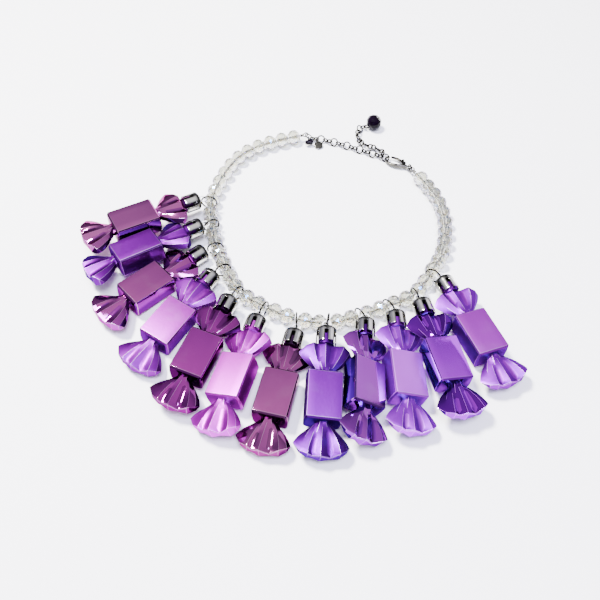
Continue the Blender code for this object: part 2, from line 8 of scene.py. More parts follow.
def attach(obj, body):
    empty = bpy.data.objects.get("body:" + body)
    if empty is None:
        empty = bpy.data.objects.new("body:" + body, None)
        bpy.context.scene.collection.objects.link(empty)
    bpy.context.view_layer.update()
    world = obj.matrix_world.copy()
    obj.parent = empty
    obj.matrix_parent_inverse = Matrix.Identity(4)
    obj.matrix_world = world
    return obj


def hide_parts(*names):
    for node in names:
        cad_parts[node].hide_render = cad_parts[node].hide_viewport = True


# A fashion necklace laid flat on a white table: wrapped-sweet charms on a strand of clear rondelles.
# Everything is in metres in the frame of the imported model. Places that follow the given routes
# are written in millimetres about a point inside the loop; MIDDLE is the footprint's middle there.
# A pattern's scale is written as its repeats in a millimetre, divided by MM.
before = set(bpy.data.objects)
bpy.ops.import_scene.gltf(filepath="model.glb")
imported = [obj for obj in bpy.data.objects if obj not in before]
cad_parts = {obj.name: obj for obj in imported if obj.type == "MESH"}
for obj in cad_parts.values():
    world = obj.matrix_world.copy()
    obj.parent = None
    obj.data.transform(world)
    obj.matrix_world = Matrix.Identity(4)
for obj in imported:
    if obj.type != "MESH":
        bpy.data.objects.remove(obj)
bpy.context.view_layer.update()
MM = 0.001
MIDDLE = Vector((-5.55, 37.42, 0.0)) * MM


# The camera stands in front of the necklace and looks down on it at about 53 degrees, as the
# photographer did, with a normal lens.
def new_object(name, data):
    """A new object in the scene, at the origin."""
    item = bpy.data.objects.new(name, data)
    bpy.context.scene.collection.objects.link(item)
    return item


LENS = 41.73
CAMERA_DISTANCE = 393.57 * MM
CAMERA_ELEVATION = math.radians(53.47)
LOOK_AT = Vector((0, 0, 13.0)) * MM - MIDDLE
camera_data = bpy.data.cameras.new("camera")
camera_data.lens = LENS
camera_data.clip_start = 0.01
camera = new_object("camera", camera_data)
camera.location = LOOK_AT + CAMERA_DISTANCE * Vector(
    (0, -math.cos(CAMERA_ELEVATION), math.sin(CAMERA_ELEVATION)))
camera.rotation_euler = (math.pi / 2 - CAMERA_ELEVATION, 0, 0)
bpy.context.scene.camera = camera


# The table is a smooth white board, lit until it is nearly white. A small soft box hangs high at the
# left and a larger one overhead, nearer the camera; a wide weak one stands low at the back right. The
# room is dim at table height, which gives the metal its contrast.
def linear(hex_colour):
    """An sRGB hex colour as the linear RGBA that shaders take."""
    parts = [int(hex_colour[i:i + 2], 16) / 255 for i in (1, 3, 5)]
    return tuple(c / 12.92 if c <= 0.04045 else ((c + 0.055) / 1.055) ** 2.4 for c in parts) + (1.0,)


def set_inputs(tree, node, inputs):
    """Sets a node's sockets, or links them where the value is another node's socket."""
    for key, value in inputs.items():
        if isinstance(value, bpy.types.NodeSocket):
            tree.links.new(value, node.inputs[key])
        else:
            node.inputs[key].default_value = value


def add_node(tree, kind, inputs=None, **settings):
    """Adds a node, sets its properties, and sets or links its sockets. Sockets that share a name are
    told by number: a colour mix takes its share at 0 and its colours at 6 and 7, and gives 2."""
    node = tree.nodes.new(kind)
    for key, value in settings.items():
        setattr(node, key, value)
    set_inputs(tree, node, inputs or {})
    return node


def fill_ramp(node, *stops):
    """Sets a colour ramp's stops, each a position and a colour."""
    elements = node.color_ramp.elements
    elements.remove(elements[1])
    elements[0].position, elements[0].color = stops[0]
    for position, colour in stops[1:]:
        elements.new(position).color = colour


def new_material(name):
    """An empty material, with its Principled shader and the object's own coordinates."""
    material = bpy.data.materials.new(name)
    material.use_nodes = True
    tree = material.node_tree
    coordinates = add_node(tree, "ShaderNodeTexCoord")
    return material, tree, tree.nodes["Principled BSDF"], coordinates.outputs["Object"]


BOARD_RADIUS = 0.75
BOARD_DROP = 0.2 * MM
BOARD_SIDES = 64
angles = [2 * math.pi * i / BOARD_SIDES for i in range(BOARD_SIDES)]
rim = [(BOARD_RADIUS * math.cos(a), BOARD_RADIUS * math.sin(a), -BOARD_DROP) for a in angles]
board_mesh = bpy.data.meshes.new("table")
board_mesh.from_pydata(rim, [], [range(BOARD_SIDES)])
new_object("table", board_mesh)
board_paint, tree, shader, _ = new_material("white_board")
set_inputs(tree, shader, {"Base Color": linear("#f4f4f4"), "Roughness": 0.9, "Specular IOR Level": 0.1})
board_mesh.materials.append(board_paint)

world = bpy.data.worlds.new("studio")
world.use_nodes = True
bpy.context.scene.world = world
tree = world.node_tree
sky = add_node(tree, "ShaderNodeTexCoord").outputs["Generated"]
direction = add_node(tree, "ShaderNodeSeparateXYZ", {"Vector": sky})
height = add_node(tree, "ShaderNodeValToRGB", {"Fac": direction.outputs["Z"]})
fill_ramp(height, (0.0, (0.10, 0.10, 0.12, 1)), (0.55, (0.32, 0.32, 0.42, 1)),
          (0.8, (0.72, 0.72, 0.82, 1)), (1.0, (0.97, 0.97, 1.0, 1)))
set_inputs(tree, tree.nodes["Background"], {"Strength": 1.6, "Color": height.outputs["Color"]})


def soft_light(name, place, size, power, tint):
    """A square soft box that faces the middle of the necklace; its power is in watts."""
    light = bpy.data.lights.new(name, "AREA")
    light.color = linear(tint)[:3]
    light.size = size
    light.energy = power
    item = new_object(name, light)
    item.location = place
    item.rotation_euler = (-Vector(place)).to_track_quat("-Z", "Y").to_euler()


soft_light("key", (-0.46, 0.22, 1.15), 0.22, 84.0, "#fffdf8")
soft_light("overhead", (0.1, -0.45, 1.4), 0.5, 50.0, "#dedeff")
soft_light("side", (1.0, 0.75, 0.42), 0.8, 3.6, "#f4f0ff")


# The strand: clear pressed-glass rondelles with cut facets, 10 by 8 mm, threaded on grey
# nylon-coated beading wire. Between the charms they sit in pairs, and up both sides in a row.
THREAD_ROUTE = [
    (2.4, 150.3), (-14, 145), (-27, 139.5), (-38.5, 131), (-46.5, 120), (-52, 107), (-56, 93.5),
    (-57.5, 80), (-55, 62), (-50.5, 44.5), (-43.5, 27.5), (-34.8, 11.6), (-20, 1), (-3, -7),
    (15.3, -10.2), (33, -5.5), (50, 1.5), (66.8, 10.3), (78, 26), (86.5, 41), (90.5, 57),
    (91.5, 73), (89, 88), (83.5, 101), (76.2, 114.4),
]
# Where the hanging rings pass round the thread, in millimetres from its left end.
RING_STATIONS = [99.8, 118.4, 136.4, 154.9, 174.6, 192.9, 212.3, 230.4, 249.4, 266.9, 284.3, 302.9]
THREAD_HEIGHT = 5.0 * MM
THREAD_RADIUS = 0.4 * MM
BEAD_RADIUS = 5.0 * MM
BEAD_LENGTH = 7.8 * MM
BEAD_HOLE = 0.7 * MM
BEAD_FACETS = 12
LEFT_PITCH = 8.75 * MM
RIGHT_PITCH = 8.3 * MM
BACK_BEADS = 11
BEADS_PER_STRAND = 4
RING_SIDE = 0.8 * MM
BEAD_GAP = 0.3 * MM
CRIMP_LENGTH = 2.2 * MM
THREAD_STEPS = 30
LEAST_STEP = 0.4 * MM


def stretches(places):
    """Each stretch between two places, as those two with the places before and after them."""
    padded = [2 * places[0] - places[1]] + places + [2 * places[-1] - places[-2]]
    return list(zip(padded, padded[1:], padded[2:], padded[3:]))


def between(a, b, c, d, t):
    """The place at a part t of the way from b to c, on a smooth curve through all four."""
    bend = 2 * a - 5 * b + 4 * c - d
    return 0.5 * (2 * b + (c - a) * t + bend * t * t + (3 * b - a - 3 * c + d) * t ** 3)


def smooth_route(points, steps=12):
    """A smooth curve through given places, as points in metres with their arc lengths."""
    known = [Vector(point).to_3d() * MM for point in points]
    curve = [between(*stretch, step / steps) for stretch in stretches(known) for step in range(steps)]
    curve.append(known[-1])
    lengths = [0.0]
    for a, b in zip(curve, curve[1:]):
        lengths.append(lengths[-1] + (b - a).length)
    return curve, lengths


def along(route, distance):
    """The place and the direction at a distance along a smooth route."""
    curve, lengths = route
    distance = min(max(distance, 0.0), lengths[-1])
    i = max(k for k in range(len(lengths) - 1) if lengths[k] <= distance)
    part = (distance - lengths[i]) / (lengths[i + 1] - lengths[i])
    before = (curve[i + 1] - curve[max(i - 1, 0)]).normalized()
    after = (curve[min(i + 2, len(curve) - 1)] - curve[i]).normalized()
    return curve[i].lerp(curve[i + 1], part), before.lerp(after, part).normalized()


def add_piece(name, mesh, node, body):
    """Shows a finished mesh in place of a node of the frame, on the same body."""
    piece = new_object(name, mesh)
    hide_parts(node)
    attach(piece, body)


def mesh_from(name, bm):
    """The mesh of a finished skin, with every face outwards."""
    mesh = bpy.data.meshes.new(name)
    bmesh.ops.recalc_face_normals(bm, faces=bm.faces)
    bm.to_mesh(mesh)
    bm.free()
    return mesh


def skin(bm, row, following):
    """Faces between two rows of points that go round."""
    for i in range(len(row)):
        j = (i + 1) % len(row)
        bm.faces.new((row[i], row[j], following[j], following[i]))


def applied(holder):
    """The mesh of an object after its modifiers; the object, made only to hold them, is removed."""
    depsgraph = bpy.context.evaluated_depsgraph_get()
    mesh = bpy.data.meshes.new_from_object(holder.evaluated_get(depsgraph), depsgraph=depsgraph)
    bpy.data.objects.remove(holder)
    return mesh


def mark_points(mesh, name, kind, values):
    """Gives each point of a mesh a value, under the name that a tree reads it by."""
    key = "vector" if kind == "FLOAT_VECTOR" else "value"
    mesh.attributes.new(name, kind, "POINT").data.foreach_set(key, values)


def grown(name, base, tree, **sizes):
    """The plain mesh that a node tree makes from a base mesh with these sizes."""
    holder = new_object(name, base)
    modifier = holder.modifiers.new(name, "NODES")
    modifier.node_group = tree
    for item in tree.interface.items_tree:
        key = item.name.lower().replace(" ", "_")
        if item.item_type == "SOCKET" and item.in_out == "INPUT" and key in sizes:
            modifier[item.identifier] = sizes[key]
    return applied(holder)


def new_tree(name, sockets):
    """A geometry tree with a geometry input, the named inputs, and a geometry output."""
    tree = bpy.data.node_groups.new(name, "GeometryNodeTree")
    tree.interface.new_socket("Geometry", in_out="INPUT", socket_type="NodeSocketGeometry")
    for socket, kind in sockets:
        tree.interface.new_socket(socket, in_out="INPUT", socket_type=kind)
    tree.interface.new_socket("Geometry", in_out="OUTPUT", socket_type="NodeSocketGeometry")
    return tree, add_node(tree, "NodeGroupInput").outputs


def round_tube(tree, curve, radius, sides=10):
    """Sweeps a round section along a curve."""
    section = add_node(tree, "GeometryNodeCurvePrimitiveCircle", {"Resolution": sides, "Radius": radius})
    tube = add_node(tree, "GeometryNodeCurveToMesh", {
        "Curve": curve, "Profile Curve": section.outputs["Curve"], "Fill Caps": True})
    return tube.outputs["Mesh"]


def made_real(tree, geometry, material):
    """Makes a tree's copies real and gives them one material."""
    solid = add_node(tree, "GeometryNodeRealizeInstances", {"Geometry": geometry})
    coated = add_node(tree, "GeometryNodeSetMaterial", {
        "Geometry": solid.outputs["Geometry"], "Material": material})
    return coated.outputs["Geometry"]


def rondelle_mesh(length, radius, hole, facets):
    """A cut rondelle along X: a row of kites each side of the girdle, and a drilled hole."""
    half = length / 2
    rings = [(-half, hole), (-half, 0.5 * radius), (-0.5 * half, 0.9 * radius), (0.0, radius),
             (0.5 * half, 0.9 * radius), (half, 0.5 * radius), (half, hole)]
    shifts = [0, 0, 0.5, 0, 0.5, 0, 0]
    bm = bmesh.new()
    rows = []
    for (x, r), shift in zip(rings, shifts):
        angles = [2 * math.pi * (i + shift) / facets for i in range(facets)]
        rows.append([bm.verts.new((x, r * math.sin(a), r * math.cos(a))) for a in angles])
    for k, (row, following) in enumerate(zip(rows, rows[1:])):
        step = shifts[k + 1] - shifts[k]
        if step == 0:
            skin(bm, row, following)
            continue
        for i in range(facets):
            j = (i + 1) % facets
            if step > 0:
                bm.faces.new((row[i], row[j], following[i]))
                bm.faces.new((row[j], following[j], following[i]))
            else:
                bm.faces.new((row[i], following[j], following[i]))
                bm.faces.new((row[i], row[j], following[j]))
    skin(bm, rows[-1], rows[0])
    return mesh_from("rondelle", bm)


def uneven_finish(name, scale, detail, tones, roughness):
    """A material whose tone and gloss vary together with one noise, which is returned last."""
    material, tree, shader, place = new_material(name)
    noise = add_node(tree, "ShaderNodeTexNoise", {"Vector": place, "Scale": scale, "Detail": detail})
    tone = add_node(tree, "ShaderNodeMix", {
        0: noise.outputs["Fac"], 6: linear(tones[0]), 7: linear(tones[1])}, data_type="RGBA")
    rough = add_node(tree, "ShaderNodeMapRange", {
        "Value": noise.outputs["Fac"], "To Min": roughness[0], "To Max": roughness[1]})
    set_inputs(tree, shader, {"Base Color": tone.outputs[2], "Roughness": rough.outputs["Result"]})
    return material, tree, shader, noise.outputs["Fac"]


# Lead-free crystal glass, pressed and polished: clear, faintly grey, with a breath of surface haze
# and a vapour coat that gives pale blue and rose glints.
crystal, tree, shader, haze = uneven_finish(
    "polished_crystal_glass", 0.7 / MM, 3.0, ("#dddccf", "#bfbcab"), (0.0, 0.02))
aurora = add_node(tree, "ShaderNodeMapRange", {"Value": haze, "To Min": 150.0, "To Max": 178.0})
set_inputs(tree, shader, {
    "Transmission Weight": 1.0, "IOR": 1.54,
    "Thin Film Thickness": aurora.outputs["Result"], "Thin Film IOR": 1.9})

# Beading wire: fine steel strands under clear nylon, so it looks a soft grey with a slight lay.
wire_coat, tree, shader, place = new_material("nylon_coated_beading_wire")
lay = add_node(tree, "ShaderNodeTexWave", {"Vector": place, "Scale": 0.9 / MM}, bands_direction="DIAGONAL")
grey = add_node(tree, "ShaderNodeMix", {
    0: lay.outputs["Fac"], 6: linear("#a2a29e"), 7: linear("#cccdc9")}, data_type="RGBA")
set_inputs(tree, shader, {"Base Color": grey.outputs[2], "Metallic": 0.6, "Roughness": 0.35})

# The tree sweeps the thread along the base mesh's edges and strings a bead at each marked point.
strand_tree, group = new_tree("strung_beads", [
    ("Bead", "NodeSocketObject"), ("Thread Radius", "NodeSocketFloat"), ("Seed", "NodeSocketInt"),
    ("Glass", "NodeSocketMaterial"), ("Thread", "NodeSocketMaterial"),
])
line = add_node(strand_tree, "GeometryNodeMeshToCurve", {"Mesh": group["Geometry"]})
tube = round_tube(strand_tree, line.outputs["Curve"], group["Thread Radius"], sides=8)
marked = add_node(strand_tree, "GeometryNodeInputNamedAttribute", {"Name": "bead"}, data_type="BOOLEAN")
way = add_node(strand_tree, "GeometryNodeInputNamedAttribute", {"Name": "way"}, data_type="FLOAT_VECTOR")
facing = add_node(strand_tree, "FunctionNodeAlignRotationToVector", {
    "Vector": way.outputs["Attribute"]}, axis="X")
spin = add_node(strand_tree, "FunctionNodeRandomValue", {
    2: 0.0, 3: 2 * math.pi, "Seed": group["Seed"]}, data_type="FLOAT")
turn = add_node(strand_tree, "FunctionNodeAxisAngleToRotation", {
    "Axis": (1, 0, 0), "Angle": spin.outputs[1]})
spun = add_node(strand_tree, "FunctionNodeRotateRotation", {
    "Rotation": facing.outputs["Rotation"], "Rotate By": turn.outputs["Rotation"]}, rotation_space="LOCAL")
bead_shape = add_node(strand_tree, "GeometryNodeObjectInfo", {"Object": group["Bead"]})
beads = add_node(strand_tree, "GeometryNodeInstanceOnPoints", {
    "Points": group["Geometry"], "Selection": marked.outputs["Attribute"],
    "Instance": bead_shape.outputs["Geometry"], "Rotation": spun.outputs["Rotation"]})
joined = add_node(strand_tree, "GeometryNodeJoinGeometry")
for part in (
    made_real(strand_tree, beads.outputs["Instances"], group["Glass"]),
    made_real(strand_tree, tube, group["Thread"]),
):
    strand_tree.links.new(part, joined.inputs["Geometry"])
add_node(strand_tree, "NodeGroupOutput", {"Geometry": joined.outputs["Geometry"]})

curve, lengths = smooth_route(THREAD_ROUTE)
thread = [point - MIDDLE + Vector((0, 0, THREAD_HEIGHT)) for point in curve], lengths
stations = [station * MM for station in RING_STATIONS]
left_beads = [stations[0] - RING_SIDE - LEFT_PITCH * (i + 0.5) for i in range(BACK_BEADS)]
right_beads = [stations[-1] + RING_SIDE + RIGHT_PITCH * (i + 0.5) for i in range(BACK_BEADS)]
front_beads = []
for ring, following in zip(stations, stations[1:]):
    middle = (ring + following) / 2
    front_beads += [middle - (BEAD_LENGTH + BEAD_GAP) / 2, middle + (BEAD_LENGTH + BEAD_GAP) / 2]
bead_places = sorted(left_beads) + front_beads + right_beads

bead = new_object("rondelle", rondelle_mesh(BEAD_LENGTH, BEAD_RADIUS, BEAD_HOLE, BEAD_FACETS))
for number, first in enumerate(range(0, len(bead_places), BEADS_PER_STRAND), 1):
    held = bead_places[first:first + BEADS_PER_STRAND]
    last = first + len(held)
    start = (bead_places[first - 1] + held[0]) / 2 if first else CRIMP_LENGTH / 2
    end = lengths[-1] - CRIMP_LENGTH / 2
    if last < len(bead_places):
        end = (held[-1] + bead_places[last]) / 2
    steps = [start + (end - start) * i / THREAD_STEPS for i in range(THREAD_STEPS + 1)]
    bare = [(s, False) for s in steps if min(abs(s - b) for b in held) > LEAST_STEP]
    stops = sorted(bare + [(b, True) for b in held])
    base = bpy.data.meshes.new("thread_line")
    edges = [(i, i + 1) for i in range(len(stops) - 1)]
    base.from_pydata([along(thread, s)[0] for s, _ in stops], edges, [])
    mark_points(base, "bead", "BOOLEAN", [is_bead for _, is_bead in stops])
    mark_points(base, "way", "FLOAT_VECTOR", [part for s, _ in stops for part in along(thread, s)[1]])
    mesh = grown("strand", base, strand_tree, bead=bead, thread_radius=THREAD_RADIUS, seed=number,
                 glass=crystal, thread=wire_coat)
    add_piece(f"glass_beads_{number:02d}", mesh, f"bead_strand_{number:02d}", "necklace")
bpy.data.objects.remove(bead)


# The charms: hollow plastic sweets, moulded in two halves that meet at a line half-way up, then
# vacuum-metallised and lacquered. Odd ones keep the mirror and even ones have a satin pearl coat; the
# eleventh's fans are darker than its block.
BLOCK_WIDTH = 19.6 * MM
BLOCK_LENGTH = 28.0 * MM
BLOCK_HEIGHT = 12.5 * MM
BLOCK_BEVEL = 0.9 * MM
BLOCK_DRAFT = 0.4 * MM
NECK_START = 15.0 * MM
NECK_WIDTH = 7.8 * MM
NECK_HEIGHT = 6.6 * MM
NECK_GATHER = 0.35 * MM
NECK_LIP = 0.2 * MM
FAN_HALF_WIDTH = 14.5 * MM
# The fan's pleats at its outer edge (across, height), and how far out that edge runs.
FAN_OUTLINE = [
    (-14.5, 0.0), (-11, 1.4), (-7, 2.6), (-4.5, 1.2), (-0.5, 3.3), (5, 0.4), (9.5, 3.6), (13.0, 2.2),
    (14.5, 0.0), (13.0, -2.0), (9.5, -3.6), (5, -2.2), (-0.5, -3.8), (-4.5, -2.0), (-7, -2.8),
    (-11, -1.4),
]
FAN_HALF_HEIGHT = max(abs(z) for _, z in FAN_OUTLINE)
FAN_EDGE = [(0.0, 33.0), (7.5, 31.9), (12.0, 29.8), (14.5, 26.2)]
FAN_STEPS = (0.12, 0.3, 0.5, 0.7, 0.86, 0.984)
# The fan widens and its pleats rise fastest near the neck, and they swell a little half-way.
FAN_FLARE = 0.6
FAN_RISE = 0.9
FAN_SWELL = 0.5 * MM
# The rim is drawn in at its very edge, and its faces are those that look along the charm.
RIM_STEP = 0.7 * MM
RIM_TUCK = 0.4
RIM_FACING = 0.6
STUB_RADIUS = 4.3 * MM
STUB_START = 31.6 * MM
STUB_END = 37.5 * MM
CREASE_WIDTH = 0.22 * MM
BLOCK_CREASE_WIDTH = 0.24 * MM
CREASE_ANGLE = math.radians(12)
ON_MOULD_LINE = 0.01 * MM
VALLEY_PERCENT = 38

# The depth attribute sets each face's tone: 0 is the lacquer's plain colour, about 0.9 its deep one and
# past that near-black, and below 0 paler. FAN_DEPTHS are those of the flat of the fans, for each kind
# of charm; the rest of the tones are painted highlights (below 0) and painted shade (above).
FAN_DEPTHS = {"mirror": 0.05, "satin": 1.0, "twice_lacquered": 0.95}
DARK_FANNED_CHARM = 11
# Painted highlights: block edges and fan ridges are set below 0, so they take the paler lacquer.
EDGE_PAINTED_HIGHLIGHT = -0.25
RIDGE_PAINTED_HIGHLIGHT = -0.45
# Painted shade: the right part of each fan, the valleys, the rims, the stub and the steep sides take deeper
# tones.
FAN_PAINTED_SHADE = 0.5
VALLEY_PAINTED_SHADE = 0.6
RIM_PAINTED_SHADE = 0.65
STUB_PAINTED_SHADE = 1.1
SIDE_PAINTED_SHADE = 2.2
SIDE_START = 0.12
# How far the paler lacquer of the painted highlights is lifted towards white; it also tints a mirror's
# gloss.
LACQUER_PALENESS = 0.28

# Each charm's middle (across, towards the back, height) in millimetres, and its heading, tilt and
# roll in degrees.
CHARMS = [
    (-101.7, 59.1, 13.9, -60.5, -3, 0),
    (-97.5, 37.2, 11.2, -58, -2, -9.5),
    (-89.4, 12.7, 7.9, -46, -3, 4),
    (-73.5, -13.5, 8.0, -31, 0, 6),
    (-55.4, -36.5, 10.7, -21, -1, 4),
    (-35.7, -49.3, 8.7, -16, -2, -14),
    (-12.6, -58.4, 6.71, -13.5, -1.4, 0),
    (12.1, -61.0, 9.6, -3.5, 1.8, 7),
    (33.6, -54.2, 11.0, -4, -3, 30),
    (55.4, -48.4, 9.3, 2, -2, 19),
    (77.6, -40.6, 11.3, 12, -2, 10),
    (98.8, -22.1, 9.0, 21, 0, 4),
]
# Each charm's lacquer, then its deep colour: the tone of some fans, and of the painted shade on steep sides,
# valleys and rims.
LACQUERS = [
    ("#a85892", "#5c1a6c"), ("#680486", "#540070"), ("#9a4988", "#7c1890"), ("#84168e", "#740c90"),
    ("#94318c", "#3c1444"), ("#cb1cd0", "#a410b0"), ("#9e4b8a", "#482c4c"), ("#6a0292", "#50007a"),
    ("#8f3aa3", "#680c98"), ("#ce51ef", "#8210b4"), ("#c41cf8", "#5a0084"), ("#9829ac", "#6c0898"),
]


def block_section(y, width, height):
    """The block's section, widest at the mould line half-way up."""
    side = width / 2
    top = height / 2
    corner = [(-side, 0), (-side + BLOCK_DRAFT, top - BLOCK_BEVEL), (-side + BLOCK_BEVEL, top)]
    flat = [(step * (side - BLOCK_BEVEL), top) for step in (-0.5, 0.0, 0.5)]
    upper = corner + flat + [(-x, z) for x, z in reversed(corner)]
    lower = [(x, -z) for x, z in reversed(upper[1:-1])]
    return [Vector((x, y, z)) for x, z in upper + lower]


def neck_point(i, y):
    """A point of the neck, which is gathered into small pleats all round."""
    angle = math.pi * (1 - 2 * i / len(FAN_OUTLINE))
    gather = NECK_GATHER if i % 2 else -NECK_GATHER
    across, up = NECK_WIDTH / 2 + gather, NECK_HEIGHT / 2 + gather
    return Vector((across * math.cos(angle), y, up * math.sin(angle)))


def edge_reach(x):
    """How far out the fan's bowed and cornered edge runs at a place across it, in mm."""
    x = abs(x)
    for (x0, y0), (x1, y1) in zip(FAN_EDGE, FAN_EDGE[1:]):
        if x <= x1:
            return y0 + (y1 - y0) * (x - x0) / (x1 - x0)
    return FAN_EDGE[-1][1]


def fan_section(side, t, inset=0.0):
    """The fan at a part t of its length from the neck to the rim; side is 1 at the cap."""
    points = []
    for i, (x, z) in enumerate(FAN_OUTLINE):
        root = neck_point(i, NECK_START)
        edge = Vector((x, edge_reach(x), z)) * MM
        edge.z -= math.copysign(min(inset, abs(edge.z)), edge.z)
        edge.x -= math.copysign(RIM_TUCK * inset, edge.x)
        spread = t * (1 + FAN_FLARE - FAN_FLARE * t)
        swell = FAN_SWELL * math.sin(math.pi * t) * (z / FAN_HALF_HEIGHT)
        points.append(Vector((
            root.x + (edge.x - root.x) * spread,
            side * (root.y + (edge.y - root.y) * t),
            root.z + (edge.z - root.z) * t ** FAN_RISE + swell,
        )))
    return points


def sweet_mesh(fan_depth):
    """One charm about its own middle: fan, neck, block, neck and fan in one skin. fan_depth is the tone
    given to the flat of the fans, on the depth scale."""
    half = BLOCK_LENGTH / 2
    small = (BLOCK_WIDTH - 2 * BLOCK_BEVEL, BLOCK_HEIGHT - 2 * BLOCK_BEVEL)
    neck = [neck_point(i, 0.0) for i in range(len(FAN_OUTLINE))]
    sections = [fan_section(-1, 1.0, RIM_STEP)]
    sections += [fan_section(-1, t) for t in reversed(FAN_STEPS)]
    sections += [
        [point - Vector((0, NECK_START, 0)) for point in neck],
        [point - Vector((0, half + NECK_LIP, 0)) for point in neck],
        block_section(-half, *small),
        block_section(-half + BLOCK_BEVEL, BLOCK_WIDTH, BLOCK_HEIGHT),
        block_section(half - BLOCK_BEVEL, BLOCK_WIDTH, BLOCK_HEIGHT),
        block_section(half, *small),
        [point + Vector((0, half + NECK_LIP, 0)) for point in neck],
        [point + Vector((0, NECK_START, 0)) for point in neck],
    ]
    sections += [fan_section(1, t) for t in FAN_STEPS]
    sections.append(fan_section(1, 1.0, RIM_STEP))
    bm = bmesh.new()
    rows = [[bm.verts.new(point) for point in section] for section in sections]
    count = len(FAN_OUTLINE)
    for row, following in zip(rows, rows[1:]):
        skin(bm, row, following)
    for row in (rows[0], rows[-1]):
        for i in range(count // 2):
            corners = [row[i], row[i + 1], row[(count - i - 1) % count], row[(count - i) % count]]
            bm.faces.new(list(dict.fromkeys(corners)))
    bmesh.ops.recalc_face_normals(bm, faces=bm.faces)
    bm.verts.index_update()
    rims = {0, 1, len(rows) - 2, len(rows) - 1}
    ridges, valleys, corners = [], [], []
    for edge in bm.edges:
        angle = edge.calc_face_angle_signed()
        first, second = (v.index for v in edge.verts)
        along_pleat = (first - second) % count == 0
        at_rim = {first // count, second // count} <= rims
        on_mould_line = all(abs(v.co.z) < ON_MOULD_LINE and abs(v.co.y) < half for v in edge.verts)
        on_block = all(abs(v.co.y) <= half for v in edge.verts)
        if angle > CREASE_ANGLE and on_block:
            corners.append(edge)
        elif on_mould_line or (angle > CREASE_ANGLE and (along_pleat or at_rim)):
            ridges.append(edge)
        elif angle < -CREASE_ANGLE and along_pleat:
            valleys.append(edge)
    for edges, kind, width, segments, profile, mark in (
        (corners, "OFFSET", BLOCK_CREASE_WIDTH, 2, 0.6, 1),
        (ridges, "OFFSET", CREASE_WIDTH, 2, 0.6, 1),
        (valleys, "PERCENT", VALLEY_PERCENT, 3, 0.5, 2),
    ):
        bmesh.ops.bevel(
            bm, geom=[e for e in edges if e.is_valid], offset=width, offset_type=kind, segments=segments,
            profile=profile, affect="EDGES", clamp_overlap=True, material=mark)
    deep = bm.faces.layers.float.new("depth")
    for face in bm.faces:
        face.normal_update()
        middle = face.calc_center_median()
        on_block = abs(middle.y) < half + NECK_LIP / 2
        steep = 1.0 - abs(face.normal.z)
        # Bevelled edges and ridges take a painted highlight, and bevelled valleys take painted shade.
        if face.material_index == 1:
            depth = EDGE_PAINTED_HIGHLIGHT if on_block else RIDGE_PAINTED_HIGHLIGHT
        elif face.material_index == 2:
            depth = VALLEY_PAINTED_SHADE
        # Rims, steep sides and the right part of each fan take painted shade.
        elif abs(middle.y) > BLOCK_LENGTH and abs(face.normal.y) > RIM_FACING:
            depth = RIM_PAINTED_SHADE
        else:
            depth = SIDE_PAINTED_SHADE * (steep - SIDE_START)
            if not on_block:
                depth = fan_depth + max(depth, 0.0) + FAN_PAINTED_SHADE * max(0.0, middle.x / FAN_HALF_WIDTH)
        face[deep] = min(1.0, depth) if face.material_index else min(1.0, max(0.0, depth))
        face.material_index = 0
    return mesh_from("sweet", bm)


def joined_mesh(name, *meshes):
    """One mesh from several, which keeps the first one's material."""
    bm = bmesh.new()
    for mesh in meshes:
        bm.from_mesh(mesh)
    result = bpy.data.meshes.new(name)
    bm.to_mesh(result)
    bm.free()
    for material in meshes[0].materials:
        result.materials.append(material)
    return result


def with_material(mesh, material):
    """The mesh with this material alone."""
    mesh.materials.clear()
    mesh.materials.append(material)
    return mesh


def shade(mesh, sharp):
    """Smooth shading, broken only at edges that turn by more than this many degrees."""
    mesh.shade_smooth()
    mesh.set_sharp_from_angle(angle=math.radians(sharp))


def stub_mesh():
    """The round stub that the cap grips, along Y."""
    bm = bmesh.new()
    length = STUB_END - STUB_START
    bmesh.ops.create_cone(
        bm, cap_ends=True, segments=32, radius1=STUB_RADIUS, radius2=STUB_RADIUS, depth=length)
    bm.transform(Matrix.Translation((0, STUB_START + length / 2, 0)) @ Matrix.Rotation(math.pi / 2, 4, "X"))
    # The stub, which shows in the cap's slots, is painted in deep shade all over.
    deep = bm.faces.layers.float.new("depth")
    for face in bm.faces:
        face[deep] = STUB_PAINTED_SHADE
    return mesh_from("stub", bm)


